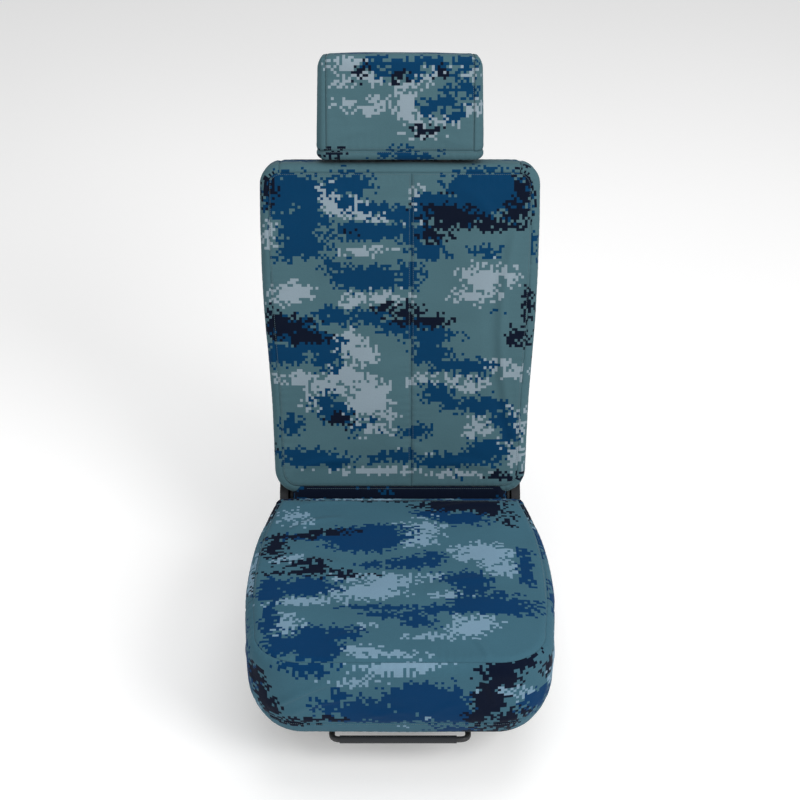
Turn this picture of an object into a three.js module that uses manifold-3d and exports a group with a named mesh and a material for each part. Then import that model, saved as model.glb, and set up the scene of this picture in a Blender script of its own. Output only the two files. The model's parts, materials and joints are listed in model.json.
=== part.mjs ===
// Seat cover set fitted on a low-mounted vehicle seat.
//
// Three fabric covers (headrest, backrest, cushion) are sewn from separate panels and pulled over the pads
// of a seat with a reclining backrest, a height-adjustable headrest and fore-and-aft floor rails.
// Millimetres. +Z is up, -Y is the front of the seat, +X is to the right of someone looking at the front.
// The origin is the centre of the base of the bounding box, on the floor.

import * as THREE from 'three';
import Module from 'manifold-3d';
import { mergeVertices } from 'three/addons/utils/BufferGeometryUtils.js';

const wasm = await Module();
wasm.setup();

// ---------------------------------------------------------------- driving dimensions

// covers
const COVER = 3;                   // laminated cover cloth, thickness
const COVER_EASE = 1;              // free space between a pad and its cover
const SEAM = 0.4;                  // gap left at a seam between two panels
const GAP = 0.3;                   // gap between pieces that rest on each other
const CORNER_STEPS = 4;            // segments in a rounded corner of a section

// cushion
const CUSHION_DEPTH = 504;
const CUSHION_TILT = 5.4;          // degrees, front edge up
const CUSHION_REAR_Y = -4;
const CUSHION_REAR_Z = 214;        // top surface at the rear edge
const CUSHION_HEM_Z = 95;          // lowest edge of the cushion cover
const CUSHION_HALF_REAR = 226;
const CUSHION_HALF_MIDDLE = 257;
const CUSHION_HALF_FRONT = 247;
const CUSHION_FRONT_CORNER = 92;
const CUSHION_REAR_CORNER = 14;
const CUSHION_EDGE = 26;           // rounding of the top edge
const CUSHION_REAR_EDGE = 12;
const CUSHION_HEM_BAND = 42;
const CUSHION_TUCK = 20;           // how far the hem turns in under the pad
const CUSHION_LOWER_PULL = 26;     // how far the elastic pulls the lower front corners in
const CUSHION_SEAM_INSET = 12;     // seam of the top panel, in from the outline
const SKIRT_SEAM_BACK = 178;       // seam between front and side skirt, back from the front edge

// backrest
const RECLINE = 20;                // degrees back from upright
const PIVOT_Y = 60;
const PIVOT_Z = 170;
const BACK_LENGTH = 622;           // pivot to top edge
const BACK_RADIUS = 62;            // rounded lower end, about the pivot
const BACK_TOP_REAR = 26;          // back face behind the pivot line at the top
const BACK_HALF_TONGUE = 195;      // narrow lower end between the recliner ears
const BACK_HALF_LOW = 227;
const BACK_HALF_MIDDLE = 241;
const BACK_HALF_HIGH = 246;
const BACK_SHOULDER = 36;          // rounding of the upper corners
const BACK_EDGE = 18;              // rounding of the long edges
const BACK_SEAM_INSET = 14;
const BACK_CENTRE_SEAM_X = 20;
const NOTCH_DIP = 16;              // the wide part hangs lower at the front, before the recliner
const FLAP_TOP = 34;               // upper edge of the tuck flap, above the pivot
const CAVITY_FRONT = -30;          // front wall of the hollow behind the backrest pad

// headrest
const HEAD_GAP = 7;
const HEAD_HEIGHT = 180;
const HEAD_HALF_LOW = 147;
const HEAD_HALF_HIGH = 143;
const HEAD_FRONT = -60;
const HEAD_REAR = 34;
const HEAD_EDGE = 13;
const HEAD_CORNER = 22;
const HEAD_SEAM_X = 131;
const HEAD_HEM = 17;
const HEAD_TUCK = 20;
const POST_X = 75;
const POST_Y = -16;
const POST_R = 6;
const POST_BEND = 22;
const POST_BELOW = 170;            // post length below the backrest's top edge
const POST_INTO_PAD = 140;
const SLEEVE_R = 10;
const SLEEVE_CLEARANCE = 0.4;
const SLEEVE_LENGTH = 62;
const SLEEVE_FLANGE_R = 15;
const SLEEVE_FLANGE = 4.4;
const BUTTON = [12, 7.4, 2.4];
const BUTTON_PROUD = 5;

// seat structure
const RAIL_X = 180;
const LOWER_RAIL = { width: 44, height: 22, wall: 3, lip: 8, front: -370, rear: 60 };
const UPPER_RAIL = { web: 14, foot: 30, footThick: 4, footZ: 10, top: 40, front: -335, rear: 90 };
const SIDE_X = 198;                // inner face of the side members
const SIDE_WALL = 5;
const SIDE_TOP = 91;
const SIDE_FRONT = -414;
const SIDE_REAR = 95;
const EAR_R = 28;
const PIN_R = 8;
const PIN_CLEARANCE = 0.3;
const TUBE_R = 12.5;
const FRONT_TUBE_Y = -395;
const REAR_TUBE_Y = -30;
const TUBE_Z = 66;
const PAN_Z = 91;
const PAN_WALL = 3;
const SHIELD_WALL = 2.5;
const SHIELD_DEPTH = 16;
const SHIELD_DISC = 34;
const SHIELD_FRONT = -104;
const FRAME_X = 178;               // inner face of the backrest side frames
const FRAME_WALL = 5;

// controls
const LEVER_Y = 70;
const LEVER_Z = 76;
const LEVER_WALL = 8;
const LEVER_HEIGHT = 20;
const BAR_R = 5;
const BAR_HALF = 112;
const BAR_Y = -478;
const BAR_Z = 75;
const GRIP_R = 6.5;
const GRIP_HALF = 105;
const BAR_HUB_R = 18;

// fixings of the cushion cover
const STRAP_WIDTH = 25;
const STRAP_THICK = 1.6;
const STRAP_Z = 86;
const SIDE_STRAP_X = 120;
const HOOK_R = 1.5;

// ---------------------------------------------------------------- materials

const COLOURS = {
  camouflage: [0x47656f, 0.85, 0],
  binding: [0x2b3d47, 0.9, 0],
  foam: [0xd8cfa8, 0.95, 0],
  steel: [0x1b1d20, 0.55, 0.6],
  chrome: [0xc9ccd0, 0.18, 1],
  zinc: [0x9aa0a6, 0.35, 0.9],
  trim: [0x17191c, 0.6, 0],
  webbing: [0x15171a, 0.85, 0],
};

const material = (name) => {
  const [color, roughness, metalness] = COLOURS[name];
  return new THREE.MeshStandardMaterial({ name, color, roughness, metalness });
};

// ---------------------------------------------------------------- solids

const radians = THREE.MathUtils.degToRad;

/** Manifold solid of a closed three.js geometry. */
function solid(geometry) {
  let g = geometry.clone();
  g.deleteAttribute('normal');
  g.deleteAttribute('uv');
  g = mergeVertices(g, 1e-4);
  return new wasm.Manifold(new wasm.Mesh({
    numProp: 3,
    vertProperties: new Float32Array(g.attributes.position.array),
    triVerts: new Uint32Array(g.index.array),
  }));
}

/** three.js geometry of a Manifold solid. */
function geometryOf(body) {
  const mesh = body.getMesh();
  const g = new THREE.BufferGeometry();
  g.setAttribute('position', new THREE.BufferAttribute(new Float32Array(mesh.vertProperties), 3));
  g.setIndex(new THREE.BufferAttribute(new Uint32Array(mesh.triVerts), 1));
  g.computeVertexNormals();
  return g;
}

const union = (bodies) => bodies.reduce((a, b) => a.add(b));

/** Box between two corners. */
function box([x0, y0, z0], [x1, y1, z1]) {
  const g = new THREE.BoxGeometry(x1 - x0, y1 - y0, z1 - z0);
  g.translate((x0 + x1) / 2, (y0 + y1) / 2, (z0 + z1) / 2);
  return solid(g);
}

/** Straight round bar between two points. */
function rod(from, to, radius, sides = 20) {
  const a = new THREE.Vector3(...from);
  const b = new THREE.Vector3(...to);
  const g = new THREE.CylinderGeometry(radius, radius, a.distanceTo(b), sides);
  g.applyQuaternion(new THREE.Quaternion().setFromUnitVectors(
    new THREE.Vector3(0, 1, 0), b.clone().sub(a).normalize()));
  g.translate(...a.clone().add(b).multiplyScalar(0.5).toArray());
  return solid(g);
}

const shapeOf = (points) => new THREE.Shape(points.map(([u, v]) => new THREE.Vector2(u, v)));

/** Outline (x, y) extruded along Z. */
function prismZ(points, z0, z1) {
  const g = new THREE.ExtrudeGeometry(shapeOf(points), { depth: z1 - z0, bevelEnabled: false });
  g.translate(0, 0, z0);
  return solid(g);
}

/** Outline (y, z) extruded along X. */
function prismX(points, x0, x1) {
  const g = new THREE.ExtrudeGeometry(shapeOf(points), { depth: x1 - x0, bevelEnabled: false });
  g.applyMatrix4(new THREE.Matrix4().makeBasis(
    new THREE.Vector3(0, 1, 0), new THREE.Vector3(0, 0, 1), new THREE.Vector3(1, 0, 0)));
  g.translate(x0, 0, 0);
  return solid(g);
}

/** Outline (x, z) extruded along Y. */
function prismY(points, y0, y1) {
  const g = new THREE.ExtrudeGeometry(shapeOf(points), { depth: y1 - y0, bevelEnabled: false });
  g.applyMatrix4(new THREE.Matrix4().makeBasis(
    new THREE.Vector3(1, 0, 0), new THREE.Vector3(0, 0, 1), new THREE.Vector3(0, -1, 0)));
  g.translate(0, y1, 0);
  return solid(g);
}

/** Closed solid through rings of equal point count, with a flat cap at each end. */
function loft(rings) {
  const count = rings[0].length;
  const position = [];
  const index = [];
  rings.forEach((ring) => ring.forEach((p) => position.push(...p)));
  for (let k = 0; k + 1 < rings.length; k += 1) {
    for (let i = 0; i < count; i += 1) {
      const a = k * count + i;
      const b = k * count + (i + 1) % count;
      index.push(a, b, b + count, a, b + count, a + count);
    }
  }
  const cap = (start, flip) => {
    for (let i = 1; i + 1 < count; i += 1) {
      index.push(start, start + (flip ? i + 1 : i), start + (flip ? i : i + 1));
    }
  };
  cap(0, true);
  cap((rings.length - 1) * count, false);
  const g = new THREE.BufferGeometry();
  g.setAttribute('position', new THREE.Float32BufferAttribute(position, 3));
  g.setIndex(index);
  return solid(g);
}

/** Round bar of radius r along a flat path with rounded bends; axis is normal to the path's plane. */
function bentRod(corners, bend, r, axis, sides = 12) {
  const points = corners.map((p) => new THREE.Vector3(...p));
  const stations = [points[0]];
  points.slice(1, -1).forEach((corner, i) => {
    const start = corner.clone().add(points[i].clone().sub(corner).setLength(bend));
    const end = corner.clone().add(points[i + 2].clone().sub(corner).setLength(bend));
    stations.push(...new THREE.QuadraticBezierCurve3(start, corner, end).getPoints(5));
  });
  stations.push(points[points.length - 1]);
  const normal = new THREE.Vector3(...axis);
  return loft(stations.map((p, i) => {
    const before = stations[Math.max(0, i - 1)];
    const after = stations[Math.min(stations.length - 1, i + 1)];
    const across = after.clone().sub(before).normalize().cross(normal);
    return Array.from({ length: sides }, (_, k) => {
      const a = (2 * Math.PI * k) / sides;
      return p.clone().addScaledVector(across, r * Math.cos(a)).addScaledVector(normal, -r * Math.sin(a))
        .toArray();
    });
  }));
}

/** Rounded rectangle |x| < half, front < y < rear, anticlockwise seen from above. */
function section(half, front, rear, radius) {
  const r = Math.min(radius, (rear - front) * 0.48);
  const corners = [[half - r, rear - r, 0], [-half + r, rear - r, 90], [-half + r, front + r, 180],
    [half - r, front + r, 270]];
  return corners.flatMap(([x, y, start]) => Array.from({ length: CORNER_STEPS + 1 }, (_, k) => {
    const a = radians(start + (90 * k) / CORNER_STEPS);
    return [x + r * Math.cos(a), y + r * Math.sin(a)];
  }));
}

/** Outline moved inwards by a distance, with mitred corners; points run anticlockwise. */
function inset(points, distance) {
  const n = points.length;
  return points.map(([x, y], i) => {
    const [ax, ay] = points[(i + n - 1) % n];
    const [bx, by] = points[(i + 1) % n];
    const u = new THREE.Vector2(x - ax, y - ay).normalize();
    const v = new THREE.Vector2(bx - x, by - y).normalize();
    const mitre = new THREE.Vector2(-u.y - v.y, u.x + v.x).normalize();
    const scale = distance / Math.max(0.4, mitre.x * -u.y + mitre.y * u.x);
    return [x + mitre.x * scale, y + mitre.y * scale];
  });
}

/** Outline scaled about its middle so that its extents shrink by a distance on every side. */
function shrink(points, distance) {
  const xs = points.map(([x]) => x);
  const ys = points.map(([, y]) => y);
  const [x0, x1, y0, y1] = [Math.min(...xs), Math.max(...xs), Math.min(...ys), Math.max(...ys)];
  const scaled = (v, a, b) => (a + b) / 2 + (v - (a + b) / 2) * (1 - (2 * distance) / (b - a));
  return points.map(([x, y]) => [scaled(x, x0, x1), scaled(y, y0, y1)]);
}

/** Straight-line interpolation in a table of [position, value]. */
function along(table, at) {
  const k = Math.max(1, table.findIndex(([p]) => p >= at));
  if (at >= table[table.length - 1][0]) return table[table.length - 1][1];
  const [p0, v0] = table[k - 1];
  const [p1, v1] = table[k];
  return v0 + (v1 - v0) * THREE.MathUtils.clamp((at - p0) / (p1 - p0), 0, 1);
}

const PIN_FROM = FRAME_X - 4;
const PIN_TO = SIDE_X + SIDE_WALL + 2;
const FAR = 2000;

// ---------------------------------------------------------------- cushion shape

const CUSHION_FRONT_Y = CUSHION_REAR_Y - CUSHION_DEPTH;
const cushionTop = (y) => CUSHION_REAR_Z + (CUSHION_REAR_Y - y) * Math.tan(radians(CUSHION_TILT));
const CUSHION_WALL_Y = Math.min(CUSHION_REAR_Y, PIVOT_Y - BACK_RADIUS - 5);

/** Plan outline of the cushion: barrel sides, large front corners, anticlockwise from the rear right. */
function cushionPlan() {
  const sideLength = CUSHION_DEPTH - CUSHION_FRONT_CORNER - CUSHION_REAR_CORNER;
  const swell = CUSHION_HALF_MIDDLE - CUSHION_HALF_REAR;
  const side = new THREE.CatmullRomCurve3([
    [CUSHION_HALF_REAR, CUSHION_WALL_Y - CUSHION_REAR_CORNER],
    [CUSHION_HALF_REAR + 0.62 * swell, CUSHION_WALL_Y - 0.24 * sideLength],
    [CUSHION_HALF_MIDDLE, CUSHION_WALL_Y - 0.55 * sideLength],
    [CUSHION_HALF_MIDDLE - 1, CUSHION_WALL_Y - 0.8 * sideLength],
    [CUSHION_HALF_FRONT, CUSHION_FRONT_Y + CUSHION_FRONT_CORNER],
  ].map(([x, y]) => new THREE.Vector3(x, y, 0))).getPoints(8).map((p) => [p.x, p.y]);
  const arc = (x, y, r, start) => Array.from({ length: CORNER_STEPS }, (_, k) => {
    const a = radians(start - (90 * (k + 1)) / CORNER_STEPS);
    return [x + r * Math.cos(a), y + r * Math.sin(a)];
  });
  const rear = arc(CUSHION_HALF_REAR - CUSHION_REAR_CORNER, CUSHION_WALL_Y - CUSHION_REAR_CORNER,
    CUSHION_REAR_CORNER, 90).slice(0, -1);
  const front = arc(CUSHION_HALF_FRONT - CUSHION_FRONT_CORNER, CUSHION_FRONT_Y + CUSHION_FRONT_CORNER,
    CUSHION_FRONT_CORNER, 0);
  const right = [[CUSHION_HALF_REAR - CUSHION_REAR_CORNER, CUSHION_WALL_Y], ...rear, ...side, ...front];
  const left = right.map(([x, y]) => [-x, y]).reverse();
  return [...right, ...left].reverse();
}

/** Cushion solid, every face moved in by d. */
function cushionBody(d) {
  const plan = cushionPlan();
  const inward = inset(plan, 1).map(([x, y], i) => [x - plan[i][0], y - plan[i][1]]);
  const middleY = CUSHION_FRONT_Y + CUSHION_DEPTH / 2;
  const pullHeight = 70;
  const pull = (y, z) => {
    const low = THREE.MathUtils.clamp((CUSHION_HEM_Z + pullHeight - z) / pullHeight, 0, 1);
    const forward = THREE.MathUtils.smoothstep(middleY - y, 0, CUSHION_DEPTH / 2 - CUSHION_FRONT_CORNER);
    return low * low * (5 + (CUSHION_LOWER_PULL - 5) * forward);
  };
  const edge = (y) => THREE.MathUtils.lerp(CUSHION_REAR_EDGE, CUSHION_EDGE,
    THREE.MathUtils.clamp((CUSHION_WALL_Y - y) / 70, 0, 1));
  const move = (i, z, by) => {
    const [x, y] = plan[i];
    const total = d + by + pull(y, z);
    return [x + inward[i][0] * total, y + inward[i][1] * total, z];
  };
  const wall = (z, by) => plan.map((_, i) => move(i, z, by));
  const rounding = (turn) => plan.map(([, y], i) => {
    const r = Math.max(2, edge(y) - d);
    const z = cushionTop(y) - d - r * (1 - Math.sin(radians(turn)));
    return move(i, z, r * (1 - Math.cos(radians(turn))));
  });
  return loft([
    wall(CUSHION_HEM_Z + d, 8),
    wall(CUSHION_HEM_Z + d + 4, 2),
    wall(CUSHION_HEM_Z + 14, 0),
    wall(CUSHION_HEM_Z + 40, 0),
    wall(CUSHION_HEM_Z + pullHeight, 0),
    ...[0, 30, 60, 90].map(rounding),
  ]);
}

// ---------------------------------------------------------------- backrest shape
// Drawn upright in its own frame: the pivot is at the origin, +Z runs up the backrest.

const backRear = (z) => THREE.MathUtils.lerp(BACK_RADIUS, BACK_TOP_REAR,
  THREE.MathUtils.clamp(z / BACK_LENGTH, 0, 1));

const NOTCH = SHIELD_DISC + 4;     // the wide part starts above the recliner shields
const BACK_WIDTHS = [
  [0, BACK_HALF_TONGUE], [NOTCH, BACK_HALF_TONGUE + 1], [NOTCH + 4, BACK_HALF_TONGUE + 15],
  [NOTCH + 12, BACK_HALF_LOW - 6], [NOTCH + 26, BACK_HALF_LOW], [0.33 * BACK_LENGTH, BACK_HALF_LOW + 5],
  [0.54 * BACK_LENGTH, BACK_HALF_MIDDLE], [0.78 * BACK_LENGTH, BACK_HALF_HIGH],
  [BACK_LENGTH - BACK_SHOULDER, BACK_HALF_HIGH],
];

/** Backrest solid, every face moved in by d. */
function backrestBody(d) {
  const lower = [-80, -62, -38, -16, 0].map((turn) => {
    const reach = (BACK_RADIUS - d) * Math.cos(radians(turn));
    const z = (BACK_RADIUS - d) * Math.sin(radians(turn));
    return section(BACK_HALF_TONGUE - d, -reach, reach, BACK_EDGE).map(([x, y]) => [x, y, z]);
  });
  const dip = (y, z) => (z > NOTCH + 30 ? 0 : NOTCH_DIP * THREE.MathUtils.clamp((-y - 20) / 30, 0, 1));
  const upper = BACK_WIDTHS.slice(1).map(([z, half]) => section(
    half - d, -BACK_RADIUS + d, backRear(z) - d, BACK_EDGE).map(([x, y]) => [x, y, z - dip(y, z)]));
  const shoulder = [25, 50, 72, 90].map((turn) => {
    const r = BACK_SHOULDER - d;
    const z = BACK_LENGTH - BACK_SHOULDER + r * Math.sin(radians(turn));
    const x = BACK_HALF_HIGH - BACK_SHOULDER + r * Math.cos(radians(turn));
    const round = BACK_EDGE * (1 - Math.cos(radians(turn)));
    return section(x, -BACK_RADIUS + d + round, backRear(z) - d - round, BACK_EDGE)
      .map(([u, y]) => [u, y, z]);
  });
  return loft([...lower, ...upper, ...shoulder]);
}

/** Front outline (x, z) of the backrest above the tongue's lower end, moved in by d. */
function backrestOutline(d) {
  const top = BACK_LENGTH - BACK_SHOULDER;
  const right = [[BACK_HALF_TONGUE, -BACK_RADIUS], ...BACK_WIDTHS.map(([z, half]) => [half, z]),
    ...[30, 60, 90].map((turn) => [
      BACK_HALF_HIGH - BACK_SHOULDER * (1 - Math.cos(radians(turn))),
      top + BACK_SHOULDER * Math.sin(radians(turn))])];
  return inset([...right, ...right.map(([x, z]) => [-x, z]).reverse()], d);
}

// ---------------------------------------------------------------- headrest shape
// Drawn in the backrest's frame.

const HEAD_BASE = BACK_LENGTH + HEAD_GAP;
const HEAD_TOP = HEAD_BASE + HEAD_HEIGHT;

/** Headrest solid, every face moved in by d. */
function headrestBody(d) {
  const r = HEAD_EDGE - d;
  const half = (z) => THREE.MathUtils.lerp(HEAD_HALF_LOW, HEAD_HALF_HIGH, (z - HEAD_BASE) / HEAD_HEIGHT);
  const ring = (z, round) => section(half(z) - d - round, HEAD_FRONT + d + round, HEAD_REAR - d - round,
    HEAD_CORNER).map(([x, y]) => [x, y, z]);
  const turns = [0, 30, 60, 90];
  const roundAt = (turn) => r * (1 - Math.cos(radians(turn)));
  return loft([
    ...turns.slice().reverse().map((t) => ring(HEAD_BASE + HEAD_EDGE - r * Math.sin(radians(t)), roundAt(t))),
    ring((HEAD_BASE + HEAD_TOP) / 2, 0),
    ...turns.map((t) => ring(HEAD_TOP - HEAD_EDGE + r * Math.sin(radians(t)), roundAt(t))),
  ]);
}

/** U-shaped post rod of the headrest, radius r, legs lengthened by extra. */
function postRod(r, extra) {
  const z = HEAD_BASE + POST_INTO_PAD;
  const foot = BACK_LENGTH - POST_BELOW - extra;
  return bentRod([
    [-POST_X, POST_Y, foot], [-POST_X, POST_Y, z], [POST_X, POST_Y, z], [POST_X, POST_Y, foot],
  ], POST_BEND, r, [0, 1, 0]);
}

// ---------------------------------------------------------------- scene graph

const seat = new THREE.Group();            // slides on the lower rails
const backrest = new THREE.Group();        // turns about the recliner pivot
backrest.position.set(0, PIVOT_Y, PIVOT_Z);
backrest.rotation.x = -radians(RECLINE);
const root = new THREE.Group();
root.add(seat, backrest);

function place(group, name, body, finish) {
  const mesh = new THREE.Mesh(geometryOf(body), material(finish));
  mesh.name = name;
  group.add(mesh);
}

const SIDES = [['left', -1], ['right', 1]];
const mirrored = (body, sign) => (sign > 0 ? body : body.mirror([1, 0, 0]));
const halfSpace = (sign) => box([Math.min(0, sign * FAR), -FAR, -FAR], [Math.max(0, sign * FAR), FAR, FAR]);

// ---------------------------------------------------------------- floor rails

function lowerRail() {
  const { width, height, wall, lip, front, rear } = LOWER_RAIL;
  const h = width / 2;
  const profile = [[-h, 0], [h, 0], [h, height], [h - wall - lip, height], [h - wall - lip, height - wall],
    [h - wall, height - wall], [h - wall, wall], [-h + wall, wall], [-h + wall, height - wall],
    [-h + wall + lip, height - wall], [-h + wall + lip, height], [-h, height]];
  return prismY(profile, front, rear).translate([RAIL_X, 0, 0]);
}

function upperRail() {
  const { web, foot, footThick, footZ, top, front, rear } = UPPER_RAIL;
  const profile = [[-foot / 2, footZ], [foot / 2, footZ], [foot / 2, footZ + footThick],
    [web / 2, footZ + footThick], [web / 2, top], [-web / 2, top], [-web / 2, footZ + footThick],
    [-foot / 2, footZ + footThick]];
  return prismY(profile, front, rear).translate([RAIL_X, 0, 0]);
}

const BOLT_HEAD = 5;
const BOLT_R = 8;
for (const [side, sign] of SIDES) {
  place(seat, `lower_rail_${side}`, mirrored(lowerRail(), sign), 'steel');
  place(seat, `upper_rail_${side}`, mirrored(upperRail(), sign), 'steel');
  for (const [where, y] of [['front', LOWER_RAIL.front + 24], ['rear', LOWER_RAIL.rear - 24]]) {
    const z = LOWER_RAIL.wall + GAP;
    place(seat, `rail_bolt_${where}_${side}`,
      rod([sign * RAIL_X, y, z], [sign * RAIL_X, y, z + BOLT_HEAD], BOLT_R, 6), 'zinc');
  }
}

// ---------------------------------------------------------------- cushion frame

/** Side member: upright plate with a foot flange on the rail and an ear at the pivot. */
function sideMember() {
  const foot = UPPER_RAIL.top + GAP;
  const plate = prismX([[SIDE_FRONT + 46, foot], [SIDE_REAR, foot], [SIDE_REAR, SIDE_TOP + 10],
    [PIVOT_Y + EAR_R, PIVOT_Z], [PIVOT_Y - EAR_R, PIVOT_Z], [PIVOT_Y - EAR_R - 4, SIDE_TOP],
    [SIDE_FRONT, SIDE_TOP], [SIDE_FRONT, TUBE_Z - 12]], SIDE_X, SIDE_X + SIDE_WALL);
  const ear = rod([SIDE_X, PIVOT_Y, PIVOT_Z], [SIDE_X + SIDE_WALL, PIVOT_Y, PIVOT_Z], EAR_R, 28);
  const flange = box([RAIL_X - UPPER_RAIL.web / 2, UPPER_RAIL.front, foot],
    [SIDE_X + 1, UPPER_RAIL.rear, foot + SIDE_WALL]);
  const pin = rod([PIN_FROM, PIVOT_Y, PIVOT_Z], [PIN_TO, PIVOT_Y, PIVOT_Z], PIN_R);
  const leverHole = rod([SIDE_X - 1, LEVER_Y, LEVER_Z], [SIDE_X + SIDE_WALL + 1, LEVER_Y, LEVER_Z],
    6.5, 16);
  return union([plate, ear, flange, pin]).subtract(leverHole);
}

const SHIELD_X = SIDE_X + SIDE_WALL + 2 + GAP;

/** Plastic shield over the recliner, hollow towards the seat. */
function shield() {
  const lower = UPPER_RAIL.top + 10;
  const outline = (r) => {
    const arc = Array.from({ length: 13 }, (_, k) => {
      const a = radians(k * 15);
      return [PIVOT_Y + (SHIELD_DISC - r) * Math.cos(a), PIVOT_Z + (SHIELD_DISC - r) * Math.sin(a)];
    });
    return [[SHIELD_FRONT + r, lower + r], [PIVOT_Y + SHIELD_DISC - r, lower + r], ...arc,
      [PIVOT_Y - SHIELD_DISC + r, SIDE_TOP + 8], [PIVOT_Y - SHIELD_DISC - 6 + r, SIDE_TOP - r],
      [SHIELD_FRONT + r, SIDE_TOP - 12 - r]];
  };
  const outer = prismX(outline(0), SHIELD_X, SHIELD_X + SHIELD_DEPTH);
  const inner = prismX(outline(SHIELD_WALL), SHIELD_X - 1, SHIELD_X + SHIELD_DEPTH - SHIELD_WALL);
  const hole = rod([SHIELD_X, LEVER_Y, LEVER_Z], [SHIELD_X + SHIELD_DEPTH + 1, LEVER_Y, LEVER_Z], 6.5, 16);
  return outer.subtract(inner).subtract(hole);
}

for (const [side, sign] of SIDES) {
  place(seat, `side_member_${side}`, mirrored(sideMember(), sign), 'steel');
  place(seat, `recliner_shield_${side}`, mirrored(shield(), sign), 'trim');
}
for (const [where, y] of [['front', FRONT_TUBE_Y], ['rear', REAR_TUBE_Y]]) {
  const end = SIDE_X - GAP;
  place(seat, `cross_tube_${where}`, rod([-end, y, TUBE_Z], [end, y, TUBE_Z], TUBE_R), 'steel');
}

/** Seat pan with lightening slots. */
function seatPan() {
  const half = SIDE_X - 20;
  let pan = box([-half, CUSHION_FRONT_Y + 60, PAN_Z], [half, CUSHION_REAR_Y - 30, PAN_Z + PAN_WALL]);
  for (const x of [-110, 0, 110]) {
    for (const y of [-350, -230, -110]) {
      pan = pan.subtract(box([x - 32, y - 32, PAN_Z - 1], [x + 32, y + 32, PAN_Z + PAN_WALL + 1]));
    }
  }
  return pan;
}
place(seat, 'seat_pan', seatPan(), 'steel');

// ---------------------------------------------------------------- cushion pad and cover

const PAD_INSET = COVER + COVER_EASE;
place(seat, 'cushion_foam', cushionBody(PAD_INSET), 'foam');

const plan = cushionPlan();
const hemSeam = CUSHION_HEM_Z + CUSHION_HEM_BAND;
const opening = prismZ(shrink(plan, CUSHION_TUCK + CUSHION_LOWER_PULL), CUSHION_HEM_Z - 5, hemSeam);
const cushionShell = cushionBody(0).subtract(cushionBody(COVER)).subtract(opening);
const topZone = (d) => prismZ(inset(plan, CUSHION_SEAM_INSET - d), CUSHION_HEM_Z + 70, FAR / 2);
const skirtSeamY = CUSHION_FRONT_Y + SKIRT_SEAM_BACK;
const rearSeamY = CUSHION_WALL_Y - CUSHION_REAR_CORNER - 4;
const skirt = cushionShell.subtract(topZone(SEAM))
  .intersect(box([-FAR, -FAR, hemSeam + SEAM], [FAR, FAR, FAR]));

place(seat, 'cushion_cover_top', cushionShell.intersect(topZone(0)), 'camouflage');
place(seat, 'cushion_cover_front',
  skirt.intersect(box([-FAR, -FAR, 0], [FAR, skirtSeamY, FAR])), 'camouflage');
for (const [side, sign] of SIDES) {
  place(seat, `cushion_cover_side_${side}`,
    skirt.intersect(halfSpace(sign)).intersect(box([-FAR, skirtSeamY + SEAM, 0], [FAR, rearSeamY, FAR])),
    'camouflage');
}
place(seat, 'cushion_cover_rear',
  skirt.intersect(box([-FAR, rearSeamY + SEAM, 0], [FAR, FAR, FAR])), 'camouflage');
place(seat, 'cushion_cover_hem',
  cushionShell.intersect(box([-FAR, -FAR, 0], [FAR, FAR, hemSeam])), 'camouflage');

// ---------------------------------------------------------------- straps under the cushion

const strapFront = CUSHION_FRONT_Y + 62;
const strapRear = CUSHION_REAR_Y - 62;
const strapBox = (x, y0, y1) => box([x - STRAP_WIDTH / 2, y0, STRAP_Z],
  [x + STRAP_WIDTH / 2, y1, STRAP_Z + STRAP_THICK]);

/** S-hook between a strap end at y and the hem, reaching in the direction of way. */
function hook(x, y, way) {
  const z = STRAP_Z + STRAP_THICK / 2;
  return bentRod([[x, y + way * 2, z - 7], [x, y + way * 2, z], [x, y + way * 11, z + 1],
    [x, y + way * 11, z - 8]], 2.2, HOOK_R, [1, 0, 0], 8);
}

for (const [side, sign] of SIDES) {
  const x = sign * SIDE_STRAP_X;
  place(seat, `cover_strap_${side}`, strapBox(x, strapFront, strapRear), 'webbing');
  place(seat, `strap_hook_front_${side}`, hook(x, strapFront, -1), 'chrome');
  place(seat, `strap_hook_rear_${side}`, hook(x, strapRear, 1), 'chrome');
}

// Side-release buckle on the centre strap.
const BUCKLE_Y = -270;
const SOCKET = { half: 17, depth: 34, z0: 81.5, z1: 90.5, wall: 1.8 };
const PLUG = { clearance: 0.5, body: 14, reach: 24, prong: 6 };
const strapGap = GAP + 0.2;

function buckleSocket() {
  const { half, depth, z0, z1, wall } = SOCKET;
  const outer = box([-half, BUCKLE_Y - depth, z0], [half, BUCKLE_Y, z1]);
  const mouth = box([-half + wall, BUCKLE_Y - PLUG.reach - 3, z0 + wall],
    [half - wall, BUCKLE_Y + 1, z1 - wall]);
  return outer.subtract(mouth);
}

function bucklePlug() {
  const { half, z0, z1, wall } = SOCKET;
  const zLow = z0 + wall + PLUG.clearance;
  const zHigh = z1 - wall - PLUG.clearance;
  const body = box([-half, BUCKLE_Y + 0.6, z0 + 1], [half, BUCKLE_Y + PLUG.body, z1 - 1]);
  const prongs = [-1, 1].map((s) => {
    const outer = half - wall - PLUG.clearance;
    const x = s * (outer - PLUG.prong / 2);
    return box([x - PLUG.prong / 2, BUCKLE_Y - PLUG.reach, zLow], [x + PLUG.prong / 2, BUCKLE_Y + 2, zHigh]);
  });
  return union([body, ...prongs]);
}

place(seat, 'centre_strap_front', strapBox(0, strapFront, BUCKLE_Y - SOCKET.depth - strapGap), 'webbing');
place(seat, 'buckle_socket', buckleSocket(), 'trim');
place(seat, 'buckle_plug', bucklePlug(), 'trim');
place(seat, 'centre_strap_rear', strapBox(0, BUCKLE_Y + PLUG.body + strapGap, strapRear - 40), 'webbing');

// ---------------------------------------------------------------- slide release bar and recline lever

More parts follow.
